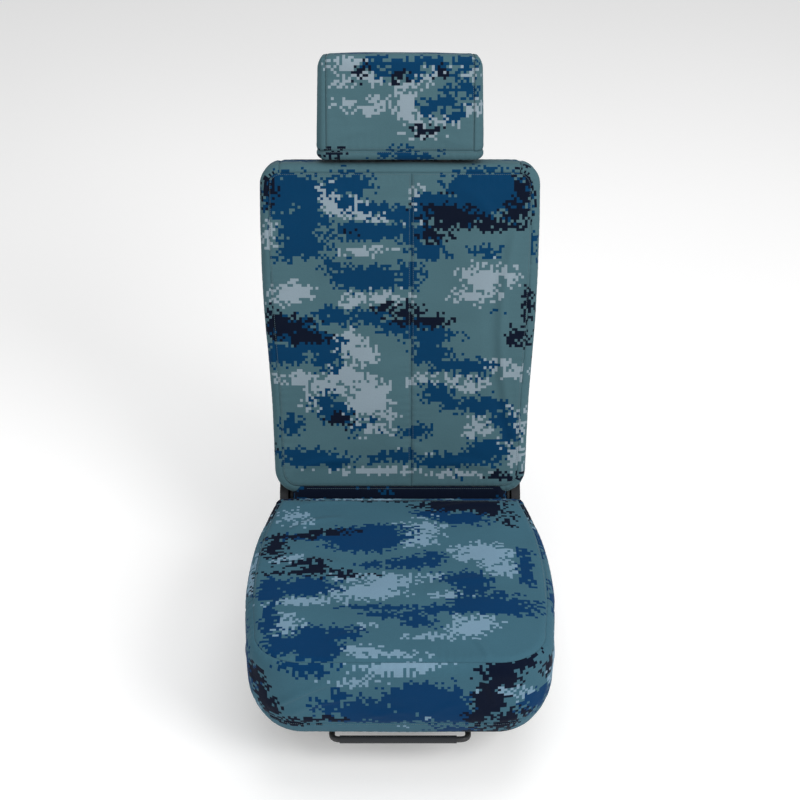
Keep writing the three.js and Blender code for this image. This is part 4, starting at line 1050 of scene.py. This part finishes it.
def cloth_panel(name, loops, form, pad, layout=None, pitch=FINE, seed=0, print_from=None, drawn_at=None,
                **relief):
    """Cuts a panel, prints it, forms it on the shape that form gives and gives it its thickness inwards;
    returns its surface. The pad argument is not used."""
    cut = cut_cloth(loops, pitch)
    across, up = cut["centres"].T
    inks = printed_inks(across, up if print_from is None else print_from - up, layout, SEED + seed, drawn_at)

    def surface(flat):
        """Points and normals of the finished panel at places on its flat cut."""
        _, edge, _, along, _ = nearest_on(loops, flat)
        return formed(form, flat, relief_of(flat, edge, along, SEED + seed, **relief))

    height = relief_of(cut["flat"], cut["edge"], cut["along"], SEED + seed, **relief)
    points, _ = formed(form, cut["flat"], height)
    kind = "camouflage_cushion" if name.startswith("cushion") else "camouflage"
    piece = tidied(mesh_piece("sewn_" + name, points, cut["faces"], kind, cut["flat"], inks))
    thickened(piece, "cloth", bpy.context.scene.seat_cover_sizes.cloth)
    finished(piece, body_of(name), [name])
    return surface


def lozenges(path, surface):
    """Corner points and faces of small closed lozenges laid end to end along a path on a cloth surface."""
    sizes = bpy.context.scene.seat_cover_sizes
    pitch, thick = sizes.stitch_pitch, sizes.thread
    steps = np.r_[0.0, np.cumsum(np.linalg.norm(np.diff(path, axis=0), axis=1))]
    number = max(2, int(steps[-1] / pitch))
    at = (np.arange(number) + 0.5) * steps[-1] / number
    here, normal = surface(np.stack([np.interp(at, steps, path[:, k]) for k in (0, 1)], axis=1))
    ahead, _ = surface(np.stack([np.interp(at + 0.6, steps, path[:, k]) for k in (0, 1)], axis=1))
    run = ahead - here
    run[-1] = run[-2]
    run /= np.maximum(np.linalg.norm(run, axis=1, keepdims=True), 1e-9)
    side = np.cross(normal, run)
    ring = np.radians(np.arange(5) * 72.0)[None, :, None]
    round_off = side[:, None] * np.cos(ring) + 0.7 * normal[:, None] * np.sin(ring)
    centre = here[:, None] + 0.25 * thick * normal[:, None]
    half = 0.38 * pitch
    points = np.concatenate([centre + run[:, None] * along + round_off * thick * wide for along, wide in
                             ((-half, 0.25), (-half * 0.6, 1.0), (half * 0.6, 1.0), (half, 0.25))], axis=1)
    quads = [[5 * r + k, 5 * r + (k + 1) % 5, 5 * r + (k + 1) % 5 + 5, 5 * r + k + 5]
             for r in range(3) for k in range(5)]
    base = np.arange(number)[:, None, None] * 20
    ends = [[4, 3, 2, 1, 0], [15, 16, 17, 18, 19]]
    faces = [(base + np.array(shape)[None]).reshape(-1, len(shape[0])) for shape in (quads, ends)]
    return points.reshape(-1, 3), faces


def stitches(name, rows, beside):
    """Rows of top stitching, each along a path on a cloth surface, as one piece on the body of a node."""
    points, faces, count = [], [], 0
    for path, surface in rows:
        some, blocks = lozenges(path, surface)
        points.append(some)
        faces += [face for block in blocks for face in (block + count).tolist()]
        count += len(some)
    mesh = bpy.data.meshes.new(name)
    mesh.from_pydata(np.vstack(points) * 0.001, [], faces)
    mesh.polygons.foreach_set("use_smooth", np.ones(len(faces), dtype=bool))
    return finished(object_of(mesh, "thread"), body_of(beside))


def ring_path(loop, inset):
    """Path a little inside a closed outline, ending where it starts."""
    path = moved_in(evened(loop, OUTLINE_PITCH), inset)
    return np.vstack([path, path[:1]])


def behind_only(ring, front):
    """The part of a ring of points behind a front line, from its right front end round the rear to
    its left one."""
    kept = ring[:, 1] > front
    first = int(np.flatnonzero(kept & ~np.roll(kept, 1))[0])
    return np.roll(ring, -first, axis=0)[:kept.sum()]


def body_of(node):
    """Name of the body that a node rides on."""
    return next(name for name, empty in frame["bodies"].items() if empty == frame["nodes"][node].parent)


def merged_copy(node, name, joined):
    """A new mesh of a node's shape with its doubles merged and, where joined, its flat faces made one."""
    form = bmesh.new()
    form.from_mesh(frame["nodes"][node].data)
    bmesh.ops.remove_doubles(form, verts=form.verts, dist=1e-6)
    if joined:
        bmesh.ops.dissolve_limit(form, angle_limit=math.radians(1.0), verts=form.verts, edges=form.edges)
    mesh = bpy.data.meshes.new(name)
    form.to_mesh(mesh)
    form.free()
    return mesh


def finished_copy(node, kind, bevel):
    """A node's shape merged, its flat faces joined and its edges broken by a small bevel, where it
    has one."""
    mesh = merged_copy(node, node + "_finished", True)
    mesh.set_sharp_from_angle(angle=CREASE)
    piece = object_of(mesh, kind)
    if bevel:
        edge = piece.modifiers.new("broken edges", "BEVEL")
        edge.width = bevel
        edge.segments = 2
        edge.limit_method = "ANGLE"
        edge.angle_limit = CREASE
        edge.harden_normals = True
    mesh.polygons.foreach_set("use_smooth", np.ones(len(mesh.polygons), dtype=bool))
    return finished(piece, body_of(node), [node])


def foam_pad(node, shrink):
    """A pad from its node's shape: rebuilt in even voxels and eased round its edges."""
    piece = object_of(merged_copy(node, node + "_pad", False), "foam")
    even = piece.modifiers.new("even", "REMESH")
    even.mode = "VOXEL"
    even.voxel_size = 0.006
    even.use_smooth_shade = True
    clear = piece.modifiers.new("clear of the cloth", "DISPLACE")
    clear.strength = -shrink
    clear.mid_level = 0.0
    ease = piece.modifiers.new("ease", "SMOOTH")
    ease.factor = 0.5
    ease.iterations = 6
    finished(piece, body_of(node), [node])


def ribbon(node, sag):
    """A webbing strap in a node's box, across and along its run, hanging a little in its middle."""
    low, high = box_of(node)
    wide, long = high[0] - low[0], high[1] - low[1]
    u, v = np.meshgrid(np.linspace(0.0, 1.0, 9), np.linspace(0.0, 1.0, count_for(long, 4.0)), indexing="ij")
    edge = 0.35 * np.abs(2.0 * u - 1.0) ** 6
    z = high[2] - edge - sag * np.sin(v * math.pi) + 0.25 * np.sin(v * math.pi * long / 34.0)
    points = np.stack([low[0] + u * wide, low[1] + v * long, z], axis=-1).reshape(-1, 3)
    faces = grid_faces(np.arange(u.size).reshape(u.shape))
    piece = mesh_piece("woven_" + node, points, faces, "webbing", points[:, :2])
    thickened(piece, "webbing", WEBBING)
    return finished(piece, body_of(node), [node])


# ---------------------------------------------------------------- sizes and colours


def length(name, description, value):
    """A millimetre size for the panel."""
    return FloatProperty(name=name, description=description, default=value, min=0.0, unit="NONE")


def power(name, description, value):
    """A light's power for the panel."""
    return FloatProperty(name=name, description=description, default=value, min=0.0, unit="POWER")


def colour(name, description, value):
    """A colour for the panel."""
    return FloatVectorProperty(name=name, description=description, default=value, subtype="COLOR",
                               min=0.0, max=1.0)


class SeatCoverSizes(bpy.types.PropertyGroup):
    """Sizes of the sewing and of the cloth's relief."""

    cloth: FloatProperty(name="Cloth", description="Thickness of the cover cloth", default=0.0016,
                         unit="LENGTH")
    seam_depth: length("Seam depth", "Depth of the groove at a seam, mm", 1.1)
    pucker_height: length("Pucker height", "Height of the puckers along a seam, mm", 0.7)
    pucker_spacing: length("Pucker spacing", "Distance between puckers, mm", 14.0)
    wave_height: length("Wave height", "Scale of the soft waves in the cloth", 1.0)
    stitch_pitch: length("Stitch pitch", "Distance between stitches, mm", 3.6)
    thread: length("Thread", "Half thickness of the thread, mm", 0.42)


class SeatCoverColours(bpy.types.PropertyGroup):
    """Inks of the printed cloth and colours of the other soft materials."""

    ground: colour("Ground", "Grey teal ground of the print", (0.056, 0.118, 0.140))
    light: colour("Light", "Pale grey ink", (0.215, 0.275, 0.318))
    navy: colour("Navy", "Navy ink", (0.0006, 0.033, 0.090))
    black: colour("Black", "Blue black ink", (0.0020, 0.0050, 0.0150))
    thread: colour("Thread", "Sewing thread", (0.045, 0.095, 0.115))
    webbing: colour("Webbing", "Strap webbing", (0.012, 0.013, 0.015))
    foam: colour("Foam", "Moulded foam", (0.68, 0.60, 0.38))


class SeatCoverStudio(bpy.types.PropertyGroup):
    """Light and floor of the studio."""

    key: power("Key light", "Power of the soft light at the right", 85.0)
    fill: power("Fill light", "Power of the soft light at the left", 24.0)
    top: power("Top light", "Power of the soft light above", 36.0)
    room: FloatProperty(name="Room light", description="Strength of the even light all round", default=0.40)
    floor: colour("Floor", "Pale floor", (0.86, 0.86, 0.86))


# ---------------------------------------------------------------- pieces

CUSHION_PRINT_START = math.floor((CUSHION_WALL + 3.0) / FINE) * FINE
HEM_TOP = CUSHION_HEM_SEAM - CUSHION_HEM + CUSHION_HEM_ROUND * (math.pi / 2 - 1.0)

# A fold is (x0, y0, x1, y1, half width, height) in millimetres on its panel.
CUSHION_TOP_FOLDS = [
    (-205, -60, -95, -10, 8, 2.6), (-190, -150, -70, -175, 11, 2.2), (40, -235, 190, -205, 12, 2.2),
    (112, -362, 142, -428, 6, 3.4), (-120, -380, -40, -352, 9, 2.0), (-215, -260, -150, -330, 9, 2.2),
    (60, 20, 200, 34, 8, 2.2), (-190, 30, -60, 42, 8, 2.0), (150, -90, 215, -150, 9, 2.0),
]
SKIRT_FOLDS = [
    (-215, 66, -86, 148, 6.5, 6.0), (-190, 60, -70, 108, 6, 3.0), (120, 168, 152, 88, 6, 3.4),
    (-60, 60, 30, 74, 7, 1.6), (-285, 150, -250, 70, 9, 1.8), (262, 160, 238, 66, 9, 1.8),
    (40, 62, 110, 96, 8, 1.0), (-330, 60, -290, 150, 10, 1.6), (330, 60, 300, 150, 10, 1.6),
    (0, 60, -60, 84, 8, 0.9),
]
BACK_FOLDS = [
    (200, 90, 204, 570, 12, -4.2), (-205, 110, -208, 540, 12, -2.8), (221, 60, 226, 590, 8, 2.4),
    (-195, 66, -60, 80, 8, 2.6), (60, 76, 190, 62, 8, 2.6), (-160, 590, -70, 535, 11, 2.0),
    (90, 588, 175, 520, 11, 2.0), (-80, 565, 10, 588, 12, 2.2), (-60, 240, 70, 262, 18, 1.4),
    (-150, 430, -40, 470, 16, 1.4), (-215, 250, -170, 310, 9, 1.8), (150, 150, 206, 182, 8, 2.4),
    (-30, 110, 60, 96, 9, 1.6),
]
BACK_REAR_FOLDS = [(-150, 120, 60, 180, 26, 1.2), (150, 520, -40, 470, 26, 1.2)]
HEAD_FOLDS = [
    (-128, 30, -40, 52, 7, 1.7), (128, 28, 60, 48, 7, 1.7), (-110, 150, -50, 166, 8, 1.2),
    (60, 160, 122, 140, 8, 1.4), (-20, 66, 70, 44, 12, 1.2), (-122, 100, -80, 60, 8, 1.2),
]


def strip(left, right, low, high, step=4.0):
    """Closed outline between two sides, its lower and upper edges given as functions of the length
    along."""
    at = np.arange(left, right + step / 2, step)
    at[-1] = right
    return np.vstack([np.stack([at, low(at)], axis=1), np.stack([at, high(at)], axis=1)[::-1]])


def level(value):
    """An edge at one height."""
    return lambda at: np.full(at.shape, float(value))


def skirt_top(at):
    """Height along the skirt where it meets the top panel's seam."""
    y = on_outline(PLAN, at)[0][:, 1]
    r = cushion_edge(y)
    return cushion_wall_height(y) + r * np.arccos(np.clip(1.0 - CUSHION_SEAM_INSET / r, 0.0, 1.0))


def length_where(path, value):
    """Length along the right half of an outline where its second coordinate first passes a value."""
    along, _ = closed(path)
    half = path[:, 0] >= -0.01
    rows = np.flatnonzero(half[: len(path) // 2 + 1])
    return float(along[rows[np.flatnonzero(path[rows, 1] >= value)[0]]])


def beyond_the_face(flat):
    """Where a place on the backrest gusset would lie on the front panels' print, if that ran on
    past the seam."""
    point, inward = on_outline(BACK, flat[:, 0])
    past = gusset_width(flat[:, 0]) - flat[:, 1] - BACK_SEAM_INSET
    return point - inward * past[:, None]


def beyond_the_seam(sign):
    """Where a place on a headrest side would lie on the wrap-round panel's print, if that ran on
    past the seam."""
    def drawn(flat):
        ahead = flat[:, 0] * sign - HEAD_FRONT + HEAD_SIDE_EASE
        return np.stack([sign * (HEAD_SEAM + ahead), flat[:, 1]], axis=1)
    return drawn


class SEATCOVERS_OT_cushion_cover(bpy.types.Operator):
    """Sew the cushion cover: top panel, front and side skirts, rear strip, turned-in hem and their
    stitching"""

    bl_idname = "seat_covers.cushion_cover"
    bl_label = "Cushion Cover"

    def execute(self, context):
        whole = closed(PLAN)[1]
        side_start = length_where(PLAN, CUSHION_FRONT + SKIRT_SEAM_BACK)
        rear_start = length_where(PLAN, CUSHION_WALL - CUSHION_REAR_CORNER - 4.0)
        pad = "cushion_foam_pad"
        top_loop = moved_in(PLAN, CUSHION_SEAM_INSET)
        top = cloth_panel("cushion_cover_top", [top_loop], cushion_top_form, pad, "cushion_top", seed=1,
                          print_from=CUSHION_PRINT_START, crown=5.0, crown_reach=70.0,
                          folds=CUSHION_TOP_FOLDS, seam=0.4)
        spans = {"front": (-side_start, side_start), "side_right": (side_start, rear_start),
                 "side_left": (-rear_start, -side_start), "rear": (rear_start, whole - rear_start)}
        rows = [(behind_only(ring_path(top_loop, STITCH_INSET)[:-1], CUSHION_FRONT + SKIRT_SEAM_BACK), top)]
        for k, (part, (left, right)) in enumerate(spans.items()):
            loop = strip(left, right, level(HEM_TOP), skirt_top)
            surface = cloth_panel("cushion_cover_" + part, [loop], skirt_form, pad,
                                  None if part == "rear" else "cushion_skirt",
                                  COARSE if part == "rear" else FINE, seed=10 + k, crown=2.0,
                                  crown_reach=30.0, folds=SKIRT_FOLDS,
                                  seam=0.4 if part == "front" else 1.0)
            if part.startswith("side"):
                rows.append((ring_path(loop, STITCH_INSET), surface))
        hem_loop = strip(-whole / 2, whole / 2, level(-CUSHION_TURN_IN + CUSHION_HEM_ROUND), level(HEM_TOP))
        hem = cloth_panel("cushion_cover_hem", [hem_loop], skirt_form, pad, "cushion_skirt", seed=15,
                          crown=0.8, crown_reach=12.0, slack=0.6)
        at = np.linspace(-whole / 2 + 5.0, whole / 2 - 5.0, 400)
        rows += [(np.stack([at, np.full(400, up)], axis=1), hem) for up in (HEM_TOP - 4.0, 15.0)]
        stitches("cushion_cover_stitching", rows, "cushion_cover_top")
        return {"FINISHED"}


class SEATCOVERS_OT_backrest_cover(bpy.types.Operator):
    """Sew the backrest cover: two front panels, gussets, back panel, tuck flap with its closure
    and the stitching"""

    bl_idname = "seat_covers.backrest_cover"
    bl_label = "Backrest Cover"

    def execute(self, context):
        pad = "backrest_foam_pad"
        face = moved_in(BACK, BACK_SEAM_INSET)
        rows = []
        for k, (side, keep) in enumerate((("left", -1), ("right", 1))):
            loop = clipped(face, BACK_CENTRE_SEAM, keep)
            surface = cloth_panel("backrest_cover_front_" + side, [loop], back_front_form, pad,
                                  "backrest_front", seed=20, crown=4.0, crown_reach=60.0, folds=BACK_FOLDS)
            rows.append((ring_path(loop, STITCH_INSET), surface))
        whole = closed(BACK)[1]
        low = BACK_HALF_HIGH - 18.5 - BACK_LOWER_CORNER - 4.0
        high = length_where(BACK, BACK_LENGTH - 0.6)
        spans = {"side_right": (low, high), "top": (high, whole - high), "side_left": (-high, -low)}
        for k, (part, (left, right)) in enumerate(spans.items()):
            loop = strip(left, right, level(0.0), gusset_width)
            cloth_panel("backrest_cover_" + part, [loop], gusset_form, pad, "backrest_front", seed=30 + k,
                        drawn_at=beyond_the_face, crown=2.0, crown_reach=25.0)
        behind = moved_in(BACK_BEHIND, BACK_SEAM_INSET)
        surface = cloth_panel("backrest_cover_back", [behind], back_rear_form, pad, None, COARSE, seed=34,
                              crown=3.0, crown_reach=60.0, folds=BACK_REAR_FOLDS)
        rows.append((ring_path(behind, STITCH_INSET), surface))
        reach = BACK_TONGUE - FLAP_END + FLAP_QUARTER + FLAP_CAP
        end = FLAP_REAR + FLAP_ARC + FLAP_FRONT
        loop = strip(-reach, reach, level(0.0), level(end))
        # The tuck_flap layout makes the front of the flap navy and black: painted shade in the gap between
        # backrest and cushion.
        flap = cloth_panel("backrest_tuck_flap", [loop], flap_form, pad, "tuck_flap", seed=36, slack=0.5)
        rows.append((np.stack([np.linspace(-170, 170, 80), np.full(80, end - 4.0)], axis=1), flap))
        strap = cut_cloth([strip(-165.0, 165.0, level(3.0), level(33.0))], COARSE)
        points, _ = formed(flap_form, strap["flat"], np.full(len(strap["flat"]), 2.2))
        piece = mesh_piece("woven_tuck_flap_closure", points, strap["faces"], "webbing", strap["flat"])
        tidied(piece)
        thickened(piece, "webbing", WEBBING)
        finished(piece, body_of("tuck_flap_closure"), ["tuck_flap_closure"])
        stitches("backrest_cover_stitching", rows, "backrest_cover_top")
        return {"FINISHED"}


class SEATCOVERS_OT_headrest_cover(bpy.types.Operator):
    """Sew the headrest cover: wrap-round panel, side panels, hem, underside flap and the stitching"""

    bl_idname = "seat_covers.headrest_cover"
    bl_label = "Headrest Cover"

    def execute(self, context):
        pad = "headrest_foam_pad"
        loop = strip(-HEAD_SEAM, HEAD_SEAM, level(HEAD_HEM), level(HEAD_HEM + HEAD_RUN[-1]))
        main = cloth_panel("headrest_cover_main", [loop], head_main_form, pad, "headrest_main", seed=40,
                           crown=3.6, crown_reach=40.0, folds=HEAD_FOLDS)
        rows = [(ring_path(loop, 3.2), main)]
        for k, (side, sign) in enumerate((("left", -1), ("right", 1))):
            outline = head_side_outline(HEAD_HEM)
            loop = outline if sign > 0 else (outline * [-1.0, 1.0])[::-1]
            cloth_panel("headrest_cover_side_" + side, [evened(loop, 5.0)], head_side_form(sign), pad,
                        "headrest_main", seed=44 + k, drawn_at=beyond_the_seam(sign), crown=1.5,
                        crown_reach=20.0, slack=0.6)
        whole = closed(HEAD_PLAN)[1]
        low = HEAD_EDGE * (1.0 - math.pi / 2) - (HEAD_TURN_IN - HEAD_EDGE)
        hem = cloth_panel("headrest_cover_hem", [strip(-whole / 2, whole / 2, level(low), level(HEAD_HEM))],
                          head_hem_form, pad, "headrest_main", seed=46, crown=0.5, crown_reach=8.0, slack=0.4)
        at = np.linspace(-whole / 2 + 5.0, whole / 2 - 5.0, 200)
        rows.append((np.stack([at, np.full(200, HEAD_HEM - 3.2)], axis=1), hem))
        under = rounded_box(HEAD_HALF_LOW - HEAD_TURN_IN, -HEAD_REAR + HEAD_TURN_IN,
                            -HEAD_FRONT - HEAD_TURN_IN, HEAD_CORNER * 0.6)
        holes = [arc(x, -POST_Y, 8.0, 360.0, 0.0, 25)[:-1] for x in (-POST_X, POST_X)]
        cloth_panel("headrest_cover_underflap", [under, *holes], head_under_form, pad, seed=48, slack=0.3)
        stitches("headrest_cover_stitching", rows, "headrest_cover_main")
        return {"FINISHED"}


class SEATCOVERS_OT_pads(bpy.types.Operator):
    """Mould the foam pads under the covers"""

    bl_idname = "seat_covers.pads"
    bl_label = "Foam Pads"

    def execute(self, context):
        for node, fill, shrink in (("cushion_foam", 0.8, 0.0015), ("backrest_foam", 0.8, 0.006),
                                   ("headrest_foam", 0.85, 0.0015)):
            foam_pad(node, shrink)
        return {"FINISHED"}


class SEATCOVERS_OT_straps(bpy.types.Operator):
    """Weave the straps under the cushion and finish their hooks and buckle"""

    bl_idname = "seat_covers.straps"
    bl_label = "Straps and Buckle"

    def execute(self, context):
        for node in ("cover_strap_left", "cover_strap_right", "centre_strap_front", "centre_strap_rear"):
            ribbon(node, 0.0 if node.startswith("centre") else 1.5)
        for node in frame["nodes"]:
            if node.startswith("strap_hook"):
                finished_copy(node, "chrome", 0.0)
        for node in ("buckle_socket", "buckle_plug"):
            finished_copy(node, "trim", 0.0008)
        return {"FINISHED"}


SIDES = ("left", "right")
HARDWARE = {
    "controls": [*[(f"recliner_shield_{side}", "trim", 0.0014) for side in SIDES],
                 ("recline_lever", "trim", 0.0022), ("slide_release_grip", "trim", 0.0009),
                 ("slide_release_bar", "steel", 0.0)],
    "seat_frame": [*[(f"{part}_{side}", kind, bevel) for side in SIDES for part, kind, bevel in (
        ("lower_rail", "steel", 0.0005), ("upper_rail", "steel", 0.0005),
        ("rail_bolt_front", "zinc", 0.0006), ("rail_bolt_rear", "zinc", 0.0006),
        ("side_member", "steel", 0.0008))],
        *[(node, "steel", 0.0008) for node in ("cross_tube_front", "cross_tube_rear", "seat_pan")]],
    "backrest_frame": [*[(f"backrest_side_frame_{side}", "steel", 0.0008) for side in SIDES],
                       *[(node, "steel", 0.0006) for node in (
                           "backrest_top_tube", "backrest_lower_tube", "lumbar_plate")]],
    "headrest_fittings": [("headrest_sleeve_left", "trim", 0.0008), ("headrest_sleeve_right", "trim", 0.0006),
                          ("headrest_lock_button", "trim", 0.0005), ("headrest_post_rod", "chrome", 0.0)],
}


def finish_hardware(group):
    """Finishes the pieces of a hardware group."""
    for node, kind, bevel in HARDWARE[group]:
        finished_copy(node, kind, bevel)


class SEATCOVERS_OT_controls(bpy.types.Operator):
    """Finish the recliner shields, the recline lever and the slide release"""

    bl_idname = "seat_covers.controls"
    bl_label = "Controls"

    def execute(self, context):
        finish_hardware("controls")
        return {"FINISHED"}


class SEATCOVERS_OT_seat_frame(bpy.types.Operator):
    """Finish the rails, side members, tubes and seat pan"""

    bl_idname = "seat_covers.seat_frame"
    bl_label = "Seat Frame"

    def execute(self, context):
        finish_hardware("seat_frame")
        return {"FINISHED"}


class SEATCOVERS_OT_backrest_frame(bpy.types.Operator):
    """Finish the steel frame inside the backrest"""

    bl_idname = "seat_covers.backrest_frame"
    bl_label = "Backrest Frame"

    def execute(self, context):
        finish_hardware("backrest_frame")
        return {"FINISHED"}


class SEATCOVERS_OT_headrest_fittings(bpy.types.Operator):
    """Finish the headrest posts, sleeves and lock button"""

    bl_idname = "seat_covers.headrest_fittings"
    bl_label = "Headrest Fittings"

    def execute(self, context):
        finish_hardware("headrest_fittings")
        return {"FINISHED"}


FLOOR_REACH = 14.0               # metres from the middle to the floor's edge
AIM = Vector((0.0, -0.0284, 0.560))
CAMERA_DISTANCE = 3.015
CAMERA_RISE = math.radians(32.9)


def soft_light(name, place, size, power):
    """A square area light turned to the middle of the seat."""
    light = bpy.data.lights.new(name, "AREA")
    light.shape = "SQUARE"
    light.size = size
    light.energy = power
    lamp = bpy.data.objects.new(name, light)
    lamp.location = place
    lamp.rotation_euler = (AIM - Vector(place)).to_track_quat("-Z", "Y").to_euler()
    bpy.context.scene.collection.objects.link(lamp)


class SEATCOVERS_OT_studio(bpy.types.Operator):
    """Set the pale floor, the soft lights and the camera"""

    bl_idname = "seat_covers.studio"
    bl_label = "Studio"

    def execute(self, context):
        scene, studio = context.scene, context.scene.seat_cover_studio
        floor = Finish("studio floor")
        even = floor.noise(floor.place(), 1.3, 1.0)
        shade = floor.tint(floor.plain(studio.floor), even, 0.985, 1.015)
        floor.link(shade, floor.shader.inputs["Base Color"])
        floor.set(Roughness=0.9, Emission_Color=(1.0, 1.0, 1.0, 1.0), Emission_Strength=0.22)
        mesh = bpy.data.meshes.new("studio_floor")
        corners = [(-1, -1), (1, -1), (1, 1), (-1, 1)]
        mesh.from_pydata([(x * FLOOR_REACH, y * FLOOR_REACH, 0.0) for x, y in corners], [], [(0, 1, 2, 3)])
        mesh.materials.append(floor.material)
        ground = bpy.data.objects.new("studio_floor", mesh)
        scene.collection.objects.link(ground)
        soft_light("key_light", (2.3, -2.1, 2.5), 1.8, studio.key)
        soft_light("fill_light", (-2.6, -2.0, 1.9), 2.2, studio.fill)
        soft_light("top_light", (0.2, 0.5, 3.0), 2.4, studio.top)
        room = bpy.data.worlds.new("room")
        room.use_nodes = True
        sky = room.node_tree.nodes["Background"]
        sky.inputs["Color"].default_value = (1.0, 1.0, 1.0, 1.0)
        sky.inputs["Strength"].default_value = studio.room
        scene.world = room
        scene.view_settings.view_transform = "Standard"
        lens = bpy.data.cameras.new("camera")
        lens.sensor_width = 36.0
        lens.lens = 81.3
        lens.shift_y = -0.0429
        camera = bpy.data.objects.new("camera", lens)
        camera.location = AIM + CAMERA_DISTANCE * Vector((0.0, -math.cos(CAMERA_RISE), math.sin(CAMERA_RISE)))
        camera.rotation_euler = (math.pi / 2 - CAMERA_RISE, 0.0, 0.0)
        scene.collection.objects.link(camera)
        scene.camera = camera
        return {"FINISHED"}


OPERATORS = (
    SEATCOVERS_OT_cushion_cover, SEATCOVERS_OT_backrest_cover, SEATCOVERS_OT_headrest_cover,
    SEATCOVERS_OT_pads, SEATCOVERS_OT_straps, SEATCOVERS_OT_controls, SEATCOVERS_OT_seat_frame,
    SEATCOVERS_OT_backrest_frame, SEATCOVERS_OT_headrest_fittings, SEATCOVERS_OT_studio,
)
GROUPS = {"seat_cover_sizes": SeatCoverSizes, "seat_cover_colours": SeatCoverColours,
          "seat_cover_studio": SeatCoverStudio}


class SEATCOVERS_PT_panel(bpy.types.Panel):
    """Sizes, colours and buttons of the seat cover set"""

    bl_idname = "SEATCOVERS_PT_panel"
    bl_label = "Seat Covers"
    bl_space_type = "VIEW_3D"
    bl_region_type = "UI"
    bl_category = "Seat Covers"

    def draw(self, context):
        for group, kind in GROUPS.items():
            box = self.layout.box()
            for name in kind.__annotations__:
                box.prop(getattr(context.scene, group), name)
        for operator in OPERATORS:
            self.layout.operator(operator.bl_idname)


def register():
    """Adds the sizes, colours, operators and panel."""
    for kind in (*GROUPS.values(), *OPERATORS, SEATCOVERS_PT_panel):
        bpy.utils.register_class(kind)
    for name, kind in GROUPS.items():
        setattr(bpy.types.Scene, name, PointerProperty(type=kind))


def unregister():
    """Takes them away again."""
    for name in GROUPS:
        delattr(bpy.types.Scene, name)
    for kind in (SEATCOVERS_PT_panel, *reversed(OPERATORS), *reversed(GROUPS.values())):
        bpy.utils.unregister_class(kind)


def main():
    register()
    for operator in (SEATCOVERS_OT_studio, *OPERATORS[:-1]):
        package, name = operator.bl_idname.split(".")
        getattr(getattr(bpy.ops, package), name)()
    bpy.context.view_layer.update()


if __name__ == "__main__":
    main()
